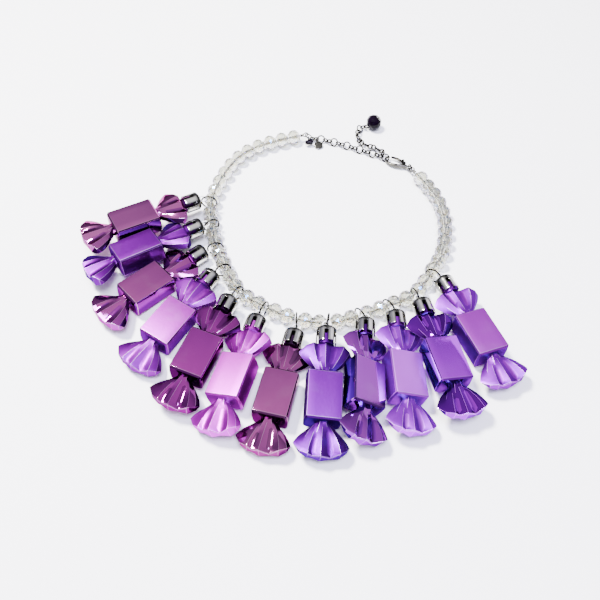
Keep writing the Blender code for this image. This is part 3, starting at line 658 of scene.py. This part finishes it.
def sweet_finish(name, lacquer, deep, satin):
    """Metallised ABS under tinted lacquer. From the depth attribute the sharp edges take a painted highlight
    and the steep sides painted shade, and the tone deepens in patches about 10 mm wide. A fine orange peel
    of about 1.5 mm breaks up the mirror; satin ones carry pearl flakes."""
    material, tree, shader, place = new_material(name)
    pale_lacquer = [LACQUER_PALENESS + (1 - LACQUER_PALENESS) * part for part in linear(lacquer)]
    tone_shade_and_highlight = add_node(tree, "ShaderNodeAttribute", attribute_name="depth")
    patches = add_node(tree, "ShaderNodeTexNoise", {"Vector": place, "Scale": 0.09 / MM, "Detail": 2.0})
    cloud = add_node(tree, "ShaderNodeMapRange", {
        "Value": patches.outputs["Fac"], "From Min": 0.3, "From Max": 0.7, "To Min": -0.03, "To Max": 0.05})
    depth = add_node(tree, "ShaderNodeMath", {
        0: tone_shade_and_highlight.outputs["Fac"], 1: cloud.outputs["Result"]}, operation="ADD")
    shift = add_node(tree, "ShaderNodeMapRange", {
        "Value": depth.outputs[0], "From Min": -0.7, "From Max": 1.3})
    lacquered = add_node(tree, "ShaderNodeValToRGB", {"Fac": shift.outputs["Result"]})
    # The pale first stop is the painted highlight on edges and ridges. The deep and near-black stops give
    # the painted shade on sides, valleys, rims and the stub, and also the fans' own deeper tone.
    fill_ramp(lacquered, (0.05, pale_lacquer), (0.35, linear(lacquer)), (0.82, linear(deep)),
              (1.0, linear("#0c0010")))
    flakes = add_node(tree, "ShaderNodeTexVoronoi", {"Vector": place, "Scale": 2.5 / MM})
    peel = add_node(tree, "ShaderNodeTexNoise", {"Vector": place, "Scale": 0.65 / MM, "Detail": 1.0})
    low, high = (0.34, 0.46) if satin else (0.05, 0.11)
    rough = add_node(tree, "ShaderNodeMapRange", {
        "Value": flakes.outputs["Distance"], "To Min": low, "To Max": high})
    relief = add_node(tree, "ShaderNodeBump", {
        "Height": peel.outputs["Fac"], "Strength": 0.12 if satin else 0.05, "Distance": 0.2 * MM})
    set_inputs(tree, shader, {
        "Base Color": lacquered.outputs["Color"], "Roughness": rough.outputs["Result"],
        "Normal": relief.outputs["Normal"], "Metallic": 1.0,
        "Specular Tint": linear(lacquer) if satin else pale_lacquer})
    return material


def lying_charm(x, y, height, heading, tilt, roll):
    """The matrix of a charm as it lies, and that of its cap, whose eyelet stays level."""
    turn = Matrix.Rotation(math.radians(heading), 4, "Z") @ Matrix.Rotation(math.radians(tilt), 4, "X")
    cap = Matrix.Translation(Vector((x, y, height)) * MM - MIDDLE) @ turn
    return cap @ Matrix.Rotation(math.radians(roll), 4, "Y"), cap


sweets = {}
for kind, fan_depth in FAN_DEPTHS.items():
    sweets[kind] = joined_mesh(f"{kind}_sweet", sweet_mesh(fan_depth), stub_mesh())
    shade(sweets[kind], 24)
charm_frames = [lying_charm(*charm) for charm in CHARMS]
for number, ((lies, _), (lacquer, deep)) in enumerate(zip(charm_frames, LACQUERS), 1):
    satin = number % 2 == 0
    kind = "satin" if satin else "mirror"
    if number == DARK_FANNED_CHARM:
        kind = "twice_lacquered"
    finish = sweet_finish(f"metallised_abs_{kind}_{number:02d}", lacquer, deep, satin)
    mesh = with_material(sweets[kind].copy(), finish)
    mesh.transform(lies)
    add_piece(f"wrapped_sweet_{number:02d}", mesh, f"candy_{number:02d}", "necklace")


# The crown caps: cups pressed from thin brass and silver-plated, with six prongs squeezed round the
# sweet's stub, a low dome and a wire eyelet soldered into its top.
CAP_RADIUS = 5.7 * MM
CAP_WALL = 0.6 * MM
CAP_START = 33.0 * MM
CAP_SLOT_END = 39.6 * MM
CAP_SHOULDER = 41.2 * MM
CAP_END = 43.4 * MM
CAP_PRONGS = 6
SLOT_HALF = math.radians(11)
PRONG_TIP = 0.8 * MM
SHOULDER_BAND = 0.4 * MM
DOME_INSET = 3.4 * MM
CROWN_RADIUS = 1.2 * MM
CAP_EDGE = 0.12 * MM
MOST_CAP_SHADE = 0.97
EYELET_AT = 45.6 * MM
EYELET_RADIUS = 2.3 * MM
EYELET_WIRE = 0.4 * MM

# Silver plate over polished brass: bright and slightly warm, with fine drawn-out rubbing marks. The
# caps carry painted shade on the dome and along the slots, with the prongs' middles left bright as a painted
# highlight.
silver, tree, shader, place = new_material("silver_plated_brass")
rubbed = add_node(tree, "ShaderNodeMapping", {"Vector": place, "Scale": (1.0, 0.25, 1.0)})
marks = add_node(tree, "ShaderNodeTexNoise", {
    "Vector": rubbed.outputs["Vector"], "Scale": 1.8 / MM, "Detail": 4.0})
dull = add_node(tree, "ShaderNodeTexNoise", {"Vector": place, "Scale": 0.22 / MM, "Detail": 2.0})
rough = add_node(tree, "ShaderNodeMapRange", {
    "Value": marks.outputs["Fac"], "To Min": 0.04, "To Max": 0.18})
plate = add_node(tree, "ShaderNodeMix", {
    0: dull.outputs["Fac"], 6: linear("#e4e2dc"), 7: linear("#b4b1a8")}, data_type="RGBA")
# Painted shade: a point attribute darkens the plate towards near-black on the dome and the slot edges.
cap_painted_shade = add_node(tree, "ShaderNodeAttribute", attribute_name="cap_painted_shade")
shaded_plate = add_node(tree, "ShaderNodeMix", {
    0: cap_painted_shade.outputs["Fac"], 6: plate.outputs[2], 7: linear("#171513")}, data_type="RGBA")
relief = add_node(tree, "ShaderNodeBump", {
    "Height": marks.outputs["Fac"], "Strength": 0.08, "Distance": 0.05 * MM})
set_inputs(tree, shader, {
    "Base Color": shaded_plate.outputs[2], "Roughness": rough.outputs["Result"],
    "Normal": relief.outputs["Normal"], "Metallic": 1.0})


def prong_mesh():
    """One sixth of the cup's skin about Y: a prong up the middle and half a slot at each side."""
    reach = math.pi / CAP_PRONGS
    inner = reach - SLOT_HALF
    angles = [-reach, -inner, -inner / 2, 0.0, inner / 2, inner, reach]
    straight = (CAP_START, CAP_START + PRONG_TIP, CAP_SLOT_END, CAP_SHOULDER - SHOULDER_BAND, CAP_SHOULDER)
    profile = [(CAP_RADIUS, y) for y in straight]
    for t in (0.25, 0.5, 0.75, 1.0):
        quarter = t * math.pi / 2
        rise = (CAP_END - CAP_SHOULDER) * math.sin(quarter)
        profile.append((CAP_RADIUS - DOME_INSET * (1 - math.cos(quarter)), CAP_SHOULDER + rise))
    profile += [(CROWN_RADIUS, CAP_END), (0.0, CAP_END)]
    bm = bmesh.new()
    rows = []
    for r, y in profile:
        if r == 0:
            rows.append([bm.verts.new((0, y, 0))] * len(angles))
        else:
            rows.append([bm.verts.new((r * math.cos(a), y, r * math.sin(a))) for a in angles])
    # The slots run up through the two lowest bands, as half a slot at each side.
    for level, (row, following) in enumerate(zip(rows, rows[1:])):
        for i in range(len(angles) - 1):
            if level < 2 and i in (0, len(angles) - 2):
                continue
            corners = (row[i], row[i + 1], following[i + 1], following[i])
            bm.faces.new(list(dict.fromkeys(corners)))
    bmesh.ops.delete(bm, geom=[v for v in bm.verts if not v.link_faces], context="VERTS")
    # The painted shade starts about a third of the way from a prong's middle to its slot; the dome has it
    # all.
    cap_painted_shade = bm.verts.layers.float.new("cap_painted_shade")
    for vert in bm.verts:
        climb = (vert.co.y - CAP_SLOT_END) / (CAP_SHOULDER - CAP_SLOT_END)
        across = abs(math.atan2(vert.co.z, vert.co.x)) / inner
        vert[cap_painted_shade] = min(MOST_CAP_SHADE, max(0.0, climb, 1.4 * across - 0.5) ** 2)
    return mesh_from("prong", bm)


# The tree turns copies of one part round the Y axis and welds them into a whole.
round_tree, group = new_tree("turned_round", [
    ("Part", "NodeSocketObject"), ("Count", "NodeSocketInt"), ("Metal", "NodeSocketMaterial")])
spots = add_node(round_tree, "GeometryNodePoints", {"Count": group["Count"]})
index = add_node(round_tree, "GeometryNodeInputIndex")
share = add_node(round_tree, "ShaderNodeMath", {
    0: index.outputs[0], 1: group["Count"]}, operation="DIVIDE")
angle = add_node(round_tree, "ShaderNodeMath", {0: share.outputs[0], 1: 2 * math.pi}, operation="MULTIPLY")
turn = add_node(round_tree, "FunctionNodeAxisAngleToRotation", {
    "Axis": (0, 1, 0), "Angle": angle.outputs[0]})
shape = add_node(round_tree, "GeometryNodeObjectInfo", {"Object": group["Part"]})
copies = add_node(round_tree, "GeometryNodeInstanceOnPoints", {
    "Points": spots.outputs["Points"], "Instance": shape.outputs["Geometry"],
    "Rotation": turn.outputs["Rotation"]})
solid = add_node(round_tree, "GeometryNodeRealizeInstances", {"Geometry": copies.outputs["Instances"]})
welded = add_node(round_tree, "GeometryNodeMergeByDistance", {
    "Geometry": solid.outputs["Geometry"], "Distance": 0.02 * MM})
metal = add_node(round_tree, "GeometryNodeSetMaterial", {
    "Geometry": welded.outputs["Geometry"], "Material": group["Metal"]})
add_node(round_tree, "NodeGroupOutput", {"Geometry": metal.outputs["Geometry"]})

# The tree bends round wire into a ring about Z, and can leave it open by a butt gap.
ring_tree, group = new_tree("bent_wire_ring", [
    ("Radius", "NodeSocketFloat"), ("Wire", "NodeSocketFloat"), ("Opening", "NodeSocketFloat"),
    ("Metal", "NodeSocketMaterial")])
sweep = add_node(ring_tree, "ShaderNodeMath", {0: 2 * math.pi, 1: group["Opening"]}, operation="SUBTRACT")
arc = add_node(ring_tree, "GeometryNodeCurveArc", {
    "Resolution": 41, "Radius": group["Radius"], "Sweep Angle": sweep.outputs[0]}, mode="RADIUS")
wire = round_tube(ring_tree, arc.outputs["Curve"], group["Wire"])
add_node(ring_tree, "NodeGroupOutput", {"Geometry": made_real(ring_tree, wire, group["Metal"])})


def wire_ring(radius, wire, opening=0.0, metal=silver):
    """A ring of round wire about Z, from the tree."""
    mesh = grown("ring", bpy.data.meshes.new("empty"), ring_tree, radius=radius, wire=wire,
                 opening=opening, metal=metal)
    shade(mesh, 50)
    return mesh


prong = new_object("prong", prong_mesh())
cup = grown("cup", bpy.data.meshes.new("empty"), round_tree, part=prong, count=CAP_PRONGS, metal=silver)
bpy.data.objects.remove(prong)
holder = new_object("cup", cup)
wall = holder.modifiers.new("wall", "SOLIDIFY")
wall.thickness = CAP_WALL
wall.offset = -1.0
edge = holder.modifiers.new("edge", "BEVEL")
edge.width = CAP_EDGE
edge.segments = 2
edge.limit_method = "ANGLE"
edge.angle_limit = math.radians(50)
cup = applied(holder)
shade(cup, 40)
eyelet = wire_ring(EYELET_RADIUS, EYELET_WIRE)
eyelet.transform(Matrix.Translation((0, EYELET_AT, 0)))
crown = joined_mesh("crown", cup, eyelet)
for number, (_, cap_lies) in enumerate(charm_frames, 1):
    mesh = crown.copy()
    mesh.transform(cap_lies)
    add_piece(f"crown_cap_{number:02d}", mesh, f"cap_{number:02d}", "necklace")


# The hanging rings: open jump rings of round wire, gunmetal-plated so they look darker than the
# caps. Each is closed round the thread between two beads and through a charm's eyelet.
RING_RADIUS = 4.8 * MM
RING_WIRE = 0.5 * MM
RING_DROP = 3.0 * MM
HOOK_AT = 45.7 * MM
# The gap where a ring's ends meet, in radians.
RING_OPENING = 0.05

# Polished gunmetal plate: a nearly black mirror with faint wear.
gunmetal, tree, shader, _ = uneven_finish(
    "gunmetal_plated_wire", 0.6 / MM, 3.0, ("#141312", "#302e2b"), (0.12, 0.3))
set_inputs(tree, shader, {"Metallic": 1.0})

# Aged nickel plate, as on most findings: far darker and greyer than silver, with a soft wear.
nickel, tree, shader, _ = uneven_finish(
    "nickel_plated_findings", 0.9 / MM, 3.0, ("#2f2e2b", "#605e59"), (0.1, 0.32))
set_inputs(tree, shader, {"Metallic": 1.0})


def ring_place(point, hook):
    """The matrix of a ring that passes through the eyelet and round the thread, standing upright."""
    reach = point - hook
    lowest = max(RING_RADIUS + RING_WIRE - hook.z, -RING_DROP)
    rise = max(reach.normalized().z * RING_RADIUS, lowest)
    level = Vector((reach.x, reach.y, 0)).normalized()
    centre = hook + level * math.sqrt(RING_RADIUS ** 2 - rise ** 2) + Vector((0, 0, rise))
    normal = reach.cross(Vector((0, 0, 1))).normalized()
    return Matrix.Translation(centre) @ normal.to_track_quat("Z", "Y").to_matrix().to_4x4()


hanging_ring = wire_ring(RING_RADIUS, RING_WIRE, RING_OPENING, gunmetal)
for number, (station, (_, cap_lies)) in enumerate(zip(stations, charm_frames), 1):
    mesh = hanging_ring.copy()
    mesh.transform(ring_place(along(thread, station)[0], cap_lies @ Vector((0, HOOK_AT, 0))))
    add_piece(f"hanging_ring_{number:02d}", mesh, f"ring_{number:02d}", "necklace")


# The extender chain: soldered links of round wire, two small and one large in turn, each turned a
# sixth of a circle from the last. The clasp holds a large link, and the rest hangs past it.
CHAIN_ROUTE = [
    (7.4, 149.6), (14.9, 149), (23.4, 146), (32.3, 142.4), (41, 138.4), (49.8, 134.2), (64, 127.4),
]
TAIL_ROUTE = [
    (57.6, 132.0, 1.3), (56, 136.8, 0.5), (50, 141, 0), (44.4, 144.2, 0), (41, 149.5, 0),
    (41.2, 156, 0), (43, 161.2, 0), (48, 162.6, 0), (53, 164, 0),
]
SMALL_LINK = 1.7 * MM
LARGE_LINK = 2.45 * MM
LINK_RADII = (SMALL_LINK, SMALL_LINK, LARGE_LINK)
LINK_WIRE = 0.48 * MM
LINK_REACH = 0.35 * MM
FIRST_TURN = math.radians(-70)
LINK_TURN = math.radians(60)
CHAIN_HEIGHT = 2.45 * MM
CHAIN_LINKS = 18
TAIL_LINKS = 14


def frame_at(start, end, turn=0.0):
    """A matrix at one point with +X towards another and +Y level, then turned about that +X."""
    heading = (end - start).normalized()
    across = Vector((0, 0, 1)).cross(heading).normalized()
    basis = Matrix((heading, across, heading.cross(across))).transposed().to_4x4()
    return Matrix.Translation(start) @ basis @ Matrix.Rotation(turn, 4, "X")


def link_places(points, count):
    """The matrix of each link of a run of chain, each turned from the last."""
    route = smooth_route(points)
    lift = Vector((0, 0, CHAIN_HEIGHT)) - MIDDLE
    places = []
    distance = 0.0
    for i in range(count):
        radius = LINK_RADII[i % len(LINK_RADII)]
        span = 2 * (radius - LINK_REACH)
        start, end = (along(route, d)[0] + lift for d in (distance, distance + span))
        place = frame_at(start, end, FIRST_TURN + i * LINK_TURN)
        places.append(place @ Matrix.Translation((span / 2, 0, 0)))
        distance += span
    return places


# The tree sets a small or a large link, bent from wire, at each point, turned as the point says.
link_tree, group = new_tree("chain_links", [
    ("Small Radius", "NodeSocketFloat"), ("Large Radius", "NodeSocketFloat"), ("Wire", "NodeSocketFloat"),
    ("Metal", "NodeSocketMaterial")])
large = add_node(link_tree, "GeometryNodeInputNamedAttribute", {"Name": "large"}, data_type="BOOLEAN")
small = add_node(link_tree, "FunctionNodeBooleanMath", {0: large.outputs["Attribute"]}, operation="NOT")
lie = add_node(link_tree, "GeometryNodeInputNamedAttribute", {"Name": "lie"}, data_type="FLOAT_VECTOR")
turn = add_node(link_tree, "FunctionNodeEulerToRotation", {"Euler": lie.outputs["Attribute"]})
links = add_node(link_tree, "GeometryNodeJoinGeometry")
for size, chosen in (("Small Radius", small.outputs[0]), ("Large Radius", large.outputs["Attribute"])):
    hoop = add_node(link_tree, "GeometryNodeCurvePrimitiveCircle", {"Resolution": 28, "Radius": group[size]})
    wire = round_tube(link_tree, hoop.outputs["Curve"], group["Wire"])
    placed = add_node(link_tree, "GeometryNodeInstanceOnPoints", {
        "Points": group["Geometry"], "Selection": chosen, "Instance": wire,
        "Rotation": turn.outputs["Rotation"]})
    link_tree.links.new(placed.outputs["Instances"], links.inputs["Geometry"])
chain = made_real(link_tree, links.outputs["Geometry"], group["Metal"])
add_node(link_tree, "NodeGroupOutput", {"Geometry": chain})

main_run = link_places(CHAIN_ROUTE, CHAIN_LINKS)
tail_run = link_places(TAIL_ROUTE, TAIL_LINKS)
spots = [
    (spot, LINK_RADII[i % len(LINK_RADII)] == LARGE_LINK)
    for run in (main_run, tail_run) for i, spot in enumerate(run)
]
base = bpy.data.meshes.new("link_spots")
base.from_pydata([spot.translation for spot, _ in spots], [], [])
lies = [part for spot, _ in spots for part in spot.to_euler()]
mark_points(base, "lie", "FLOAT_VECTOR", lies)
mark_points(base, "large", "BOOLEAN", [is_large for _, is_large in spots])
mesh = grown("chain", base, link_tree, small_radius=SMALL_LINK, large_radius=LARGE_LINK,
             wire=LINK_WIRE, metal=gunmetal)
mesh.shade_smooth()
add_piece("link_chain", mesh, "extender_chain", "necklace")


# The crimps: short soft-metal tubes squeezed on to the thread's ends, each with a wire eye. A jump
# ring joins the left one to the chain, and another joins the right one to the clasp.
CRIMP_RADIUS = 1.1 * MM
CRIMP_MOUTH = 0.9 * CRIMP_RADIUS
CRIMP_WAIST = 0.8 * CRIMP_RADIUS
CRIMP_LIP = 0.15 * MM
CRIMP_EYE_RADIUS = 1.6 * MM
EYE_WIRE = 0.35 * MM
JUMP_RING_WIRE = 0.4 * MM
# How far round a jump ring its gap is turned, in radians.
GAP_TURN = 1.2
LEFT_JUMP_TURN = math.radians(-15)
UPRIGHT = math.radians(90)
CLASP_EYE = Vector((74.0, 120.0, 2.5)) * MM - MIDDLE
CLASP_HOOK = Vector((58.8, 129.5, 2.4)) * MM - MIDDLE


def capped_mesh(name, bm, rows, sharp):
    """The mesh of rows of points skinned one to the next, with both ends closed."""
    for row, following in zip(rows, rows[1:]):
        skin(bm, row, following)
    bm.faces.new(rows[0])
    bm.faces.new(rows[-1])
    mesh = mesh_from(name, bm)
    shade(mesh, sharp)
    return mesh


def turned_mesh(profile, sides=24, sharp=40):
    """A closed body turned about X from (distance, radius) pairs."""
    bm = bmesh.new()
    rows = []
    for x, r in profile:
        angles = [2 * math.pi * i / sides for i in range(sides)]
        rows.append([bm.verts.new((x, r * math.sin(a), -r * math.cos(a))) for a in angles])
    return capped_mesh("turned", bm, rows, sharp)


def wire_eye(radius, centre=Vector()):
    """A small eye of wire in the XZ plane."""
    eye = wire_ring(radius, EYE_WIRE)
    eye.transform(Matrix.Translation(centre) @ Matrix.Rotation(UPRIGHT, 4, "X"))
    return eye


def add_crimp(side, point, outwards, turn):
    """A crimp whose tube ends at a point of the thread; returns the middle of its eye."""
    place = frame_at(point - outwards * CRIMP_LENGTH, point, turn)
    eye_centre = Vector((CRIMP_LENGTH + CRIMP_EYE_RADIUS, 0, 0))
    tube = turned_mesh([
        (0, CRIMP_MOUTH), (CRIMP_LIP, CRIMP_RADIUS), (3 * CRIMP_LIP, CRIMP_RADIUS),
        (5 * CRIMP_LIP, CRIMP_WAIST), (CRIMP_LENGTH - 5 * CRIMP_LIP, CRIMP_WAIST),
        (CRIMP_LENGTH - 3 * CRIMP_LIP, CRIMP_RADIUS), (CRIMP_LENGTH - CRIMP_LIP, CRIMP_RADIUS),
        (CRIMP_LENGTH, CRIMP_MOUTH),
    ])
    mesh = with_material(joined_mesh("crimp", tube, wire_eye(CRIMP_EYE_RADIUS, eye_centre)), nickel)
    mesh.transform(place)
    add_piece(f"crimp_tube_{side}", mesh, f"crimp_{side}", "necklace")
    return place @ eye_centre


def add_jump_ring(side, start, end, turn):
    """A ring through two points; returns the middle of its wire half-way round its -Y side."""
    radius = (end - start).length / 2
    place = frame_at(start, end, turn) @ Matrix.Translation((radius, 0, 0))
    mesh = wire_ring(radius, JUMP_RING_WIRE, RING_OPENING, gunmetal)
    mesh.transform(place @ Matrix.Rotation(GAP_TURN, 4, "Z"))
    add_piece(f"joining_ring_{side}", mesh, f"jump_ring_{side}", "necklace")
    return place @ Vector((0, -radius, 0))


point, heading = along(thread, 0.0)
left_eye = add_crimp("left", point, -heading, 0.0)
barrel_hanger = add_jump_ring("left", left_eye, main_run[0].translation, LEFT_JUMP_TURN)
point, heading = along(thread, lengths[-1])
right_eye = add_crimp("right", point, heading, UPRIGHT)
add_jump_ring("right", right_eye, CLASP_EYE, UPRIGHT)


# The lobster clasp: a cast and polished hook with its eye, a cheek and pin, and a lever that a
# hidden spring holds shut against the hook's tip. A thumb knob opens it.
CLASP_EYE_RADIUS = 1.5 * MM
CLASP_EYE_WIRE = 0.5 * MM
HOOK_STATIONS = [
    (1.2, 0, 0.9), (3.2, 0.9, 0.9), (5.5, 1.9, 1.0), (8.5, 3.0, 1.0), (12, 3.4, 0.9), (15.4, 2.6, 0.75),
    (17.6, 0.5, 0.6), (17.3, -1.4, 0.6), (15.9, -2.6, 0.6),
]
HOOK_HALF_HEIGHTS = (1.1, 1.3, 1.3, 1.2, 1.0, 0.8, 0.65, 0.65, 0.65)
CHEEK_STATIONS = [(3.0, 0.9, 0.9), (4.6, -1.6, 1.2), (5.2, -2.5, 0.8)]
CHEEK_HEIGHTS = (-1.3, -0.8)
PIN_HEIGHTS = (-1.1, 1.2)
PIN_RADIUS = 0.5 * MM
LEVER_STATIONS = [(1.0, -0.4, 0.9), (2.9, -1.2, 0.9), (6.4, -1.8, 0.75), (10.2, -1.3, 0.55)]
LEVER_HEIGHTS = (-0.5, 0.9)
LEVER_PIVOT = Vector((4.6, -1.6, 0.0)) * MM
LEVER_KNOB = Vector((1.6, -1.9, 0.0)) * MM
BOSS_HEIGHTS = (-0.45, 1.05)
KNOB_HEIGHTS = (-0.4, 1.3)
KNOB_RADIUS = 0.9 * MM
BOSS_RADIUS = 1.5 * MM
BAR_SIDES = 16
POST_EDGE = 0.15 * MM


def cast_bar(stations, heights, roundness=0.55):
    """A cast bar with a rounded section through stations (along, across, half width), in mm."""
    bm = bmesh.new()
    rows = []
    path = [Vector((x, y, 0)) for x, y, _ in stations]
    for i, ((x, y, half), (low, high)) in enumerate(zip(stations, heights)):
        heading = (path[min(i + 1, len(path) - 1)] - path[max(i - 1, 0)]).normalized()
        row = []
        for k in range(BAR_SIDES):
            angle = 2 * math.pi * (k + 0.5) / BAR_SIDES
            c, s = math.cos(angle), math.sin(angle)
            side = half * math.copysign(abs(c) ** roundness, c)
            rise = (low + high) / 2 + (high - low) / 2 * math.copysign(abs(s) ** roundness, s)
            row.append(bm.verts.new(Vector((x - heading.y * side, y + heading.x * side, rise)) * MM))
        rows.append(row)
    return capped_mesh("bar", bm, rows, sharp=55)


def smooth_stations(stations, extras, steps=4):
    """The stations with smooth ones between them, and the second list eased in the same way."""
    route = [Vector(s) for s in stations]
    fine, eased = [], []
    for i, stretch in enumerate(stretches(route)):
        for step in range(steps):
            t = step / steps
            fine.append(between(*stretch, t))
            eased.append([p + (q - p) * t for p, q in zip(extras[i], extras[i + 1])])
    fine.append(route[-1])
    eased.append(extras[-1])
    return fine, eased


def post(radius, heights, centre=Vector()):
    """An upright round post with softened ends."""
    low, high = (height * MM for height in heights)
    end = radius - POST_EDGE
    mesh = turned_mesh([(low, end), (low + POST_EDGE, radius), (high - POST_EDGE, radius), (high, end)])
    mesh.transform(Matrix.Translation(centre) @ Matrix.Rotation(-math.pi / 2, 4, "Y"))
    return mesh


clasp = frame_at(CLASP_EYE, CLASP_HOOK)
hook = cast_bar(*smooth_stations(HOOK_STATIONS, [(-half, half) for half in HOOK_HALF_HEIGHTS]))
cheek = cast_bar(*smooth_stations(CHEEK_STATIONS, [CHEEK_HEIGHTS] * len(CHEEK_STATIONS)), roundness=0.4)
mesh = with_material(joined_mesh(
    "hook", hook, cheek, post(PIN_RADIUS, PIN_HEIGHTS, LEVER_PIVOT),
    wire_ring(CLASP_EYE_RADIUS, CLASP_EYE_WIRE),
), nickel)
mesh.transform(clasp)
add_piece("clasp_hook", mesh, "clasp_body", "necklace")
arm = cast_bar(*smooth_stations(LEVER_STATIONS, [LEVER_HEIGHTS] * len(LEVER_STATIONS)))
mesh = with_material(joined_mesh(
    "lever", arm, post(BOSS_RADIUS, BOSS_HEIGHTS), post(KNOB_RADIUS, KNOB_HEIGHTS, LEVER_KNOB),
), gunmetal)
mesh.transform(clasp @ Matrix.Translation(LEVER_PIVOT))
add_piece("clasp_trigger", mesh, "clasp_lever", "lever")


# What else hangs at the back: a small round tag of plain nickel plate, a dark cut barrel, and at
# the chain's end a near-black cut rondelle on a head pin.
TAG_RADIUS = 3.0 * MM
TAG_THICKNESS = 0.8 * MM
TAG_RIM = 0.2 * MM
TAG_SIDES = 40
TAG_EYE_RADIUS = 1.55 * MM
TAG_ANGLE = math.radians(-70)
TAG_FOOT = Vector((13.9, 140.6, 0.5)) * MM - MIDDLE
BARREL_RADIUS = 1.7 * MM
BARREL_END_RADIUS = 1.1 * MM
BARREL_LENGTH = 5.5 * MM
BARREL_EYE_RADIUS = 1.35 * MM
BARREL_SIDES = 10
BARREL_FOOT = Vector((7.2, 140.0, 1.3)) * MM - MIDDLE
END_BEAD_AT = Vector((52.8, 163.5, 5.7)) * MM - MIDDLE
END_BEAD_RADIUS = 5.53 * MM
END_BEAD_LENGTH = 9.0 * MM
END_BEAD_FACETS = 10
PIN_LOOP_RADIUS = 1.3 * MM
PIN_HEAD_RADIUS = 0.9 * MM
PIN_HEAD_LENGTH = 0.5 * MM
HEAD_PIN_RADIUS = 0.45 * MM

tag_reach = TAG_EYE_RADIUS + TAG_RADIUS - EYE_WIRE / 2
half = TAG_THICKNESS / 2
disc = turned_mesh([
    (-half, TAG_RADIUS - TAG_RIM), (-half + TAG_RIM / 2, TAG_RADIUS), (half - TAG_RIM / 2, TAG_RADIUS),
    (half, TAG_RADIUS - TAG_RIM), (half, TAG_RADIUS - 3 * TAG_RIM),
    (half - TAG_RIM, TAG_RADIUS - 4 * TAG_RIM), (half - TAG_RIM / 2, 0.2 * TAG_RADIUS),
], TAG_SIDES)
disc.transform(Matrix.Translation((tag_reach, 0, 0)) @ Matrix.Rotation(-math.pi / 2, 4, "Y"))
mesh = with_material(joined_mesh("tag", disc, wire_eye(TAG_EYE_RADIUS)), nickel)
tag_hanger = main_run[1] @ Matrix.Rotation(TAG_ANGLE, 4, "Z") @ Vector((SMALL_LINK, 0, 0))
mesh.transform(frame_at(tag_hanger, TAG_FOOT))
add_piece("round_tag", mesh, "tag", "necklace")

# Amethyst-dark glass: so deep that it looks black, with a faint, uneven violet in it.
dark_glass, tree, shader, _ = uneven_finish(
    "dark_amethyst_glass", 0.3 / MM, 2.0, ("#030104", "#0a0210"), (0.12, 0.22))
set_inputs(tree, shader, {"IOR": 1.55, "Specular IOR Level": 0.05})


def glass_and_metal(name, metal, body, *fittings):
    """A body of dark glass joined to its metal fittings."""
    body.materials.append(dark_glass)
    mesh = joined_mesh(name, body, *fittings)
    mesh.materials.append(metal)
    for polygon in mesh.polygons[len(body.polygons):]:
        polygon.material_index = 1
    return mesh


reach = BARREL_EYE_RADIUS + BARREL_RADIUS - EYE_WIRE / 2
half = BARREL_LENGTH / 2
body = turned_mesh([
    (-half, BARREL_END_RADIUS), (-half / 2, BARREL_RADIUS), (half / 2, BARREL_RADIUS),
    (half, BARREL_END_RADIUS),
], BARREL_SIDES, sharp=10)
body.transform(Matrix.Translation((reach, 0, 0)) @ Matrix.Rotation(math.pi / 2, 4, "Z"))
mesh = glass_and_metal("barrel", gunmetal, body, wire_eye(BARREL_EYE_RADIUS))
mesh.transform(frame_at(barrel_hanger, BARREL_FOOT))
add_piece("dark_barrel", mesh, "barrel", "necklace")

last_radius = LINK_RADII[(TAIL_LINKS - 1) % len(LINK_RADII)]
last_wire = tail_run[-1] @ Vector((last_radius, 0, 0))
reach = (END_BEAD_AT - last_wire).length
half = END_BEAD_LENGTH / 2
rondelle = rondelle_mesh(END_BEAD_LENGTH, END_BEAD_RADIUS, BEAD_HOLE, END_BEAD_FACETS)
rondelle.transform(Matrix.Translation((reach, 0, 0)))
head = reach + half + PIN_HEAD_LENGTH
pin = turned_mesh([
    (PIN_LOOP_RADIUS, HEAD_PIN_RADIUS), (head, HEAD_PIN_RADIUS), (head, PIN_HEAD_RADIUS),
    (head + PIN_HEAD_LENGTH, PIN_HEAD_RADIUS),
])
mesh = glass_and_metal("end_bead", silver, rondelle, pin, wire_eye(PIN_LOOP_RADIUS))
mesh.transform(frame_at(last_wire, END_BEAD_AT))
add_piece("dark_end_bead", mesh, "end_bead", "necklace")
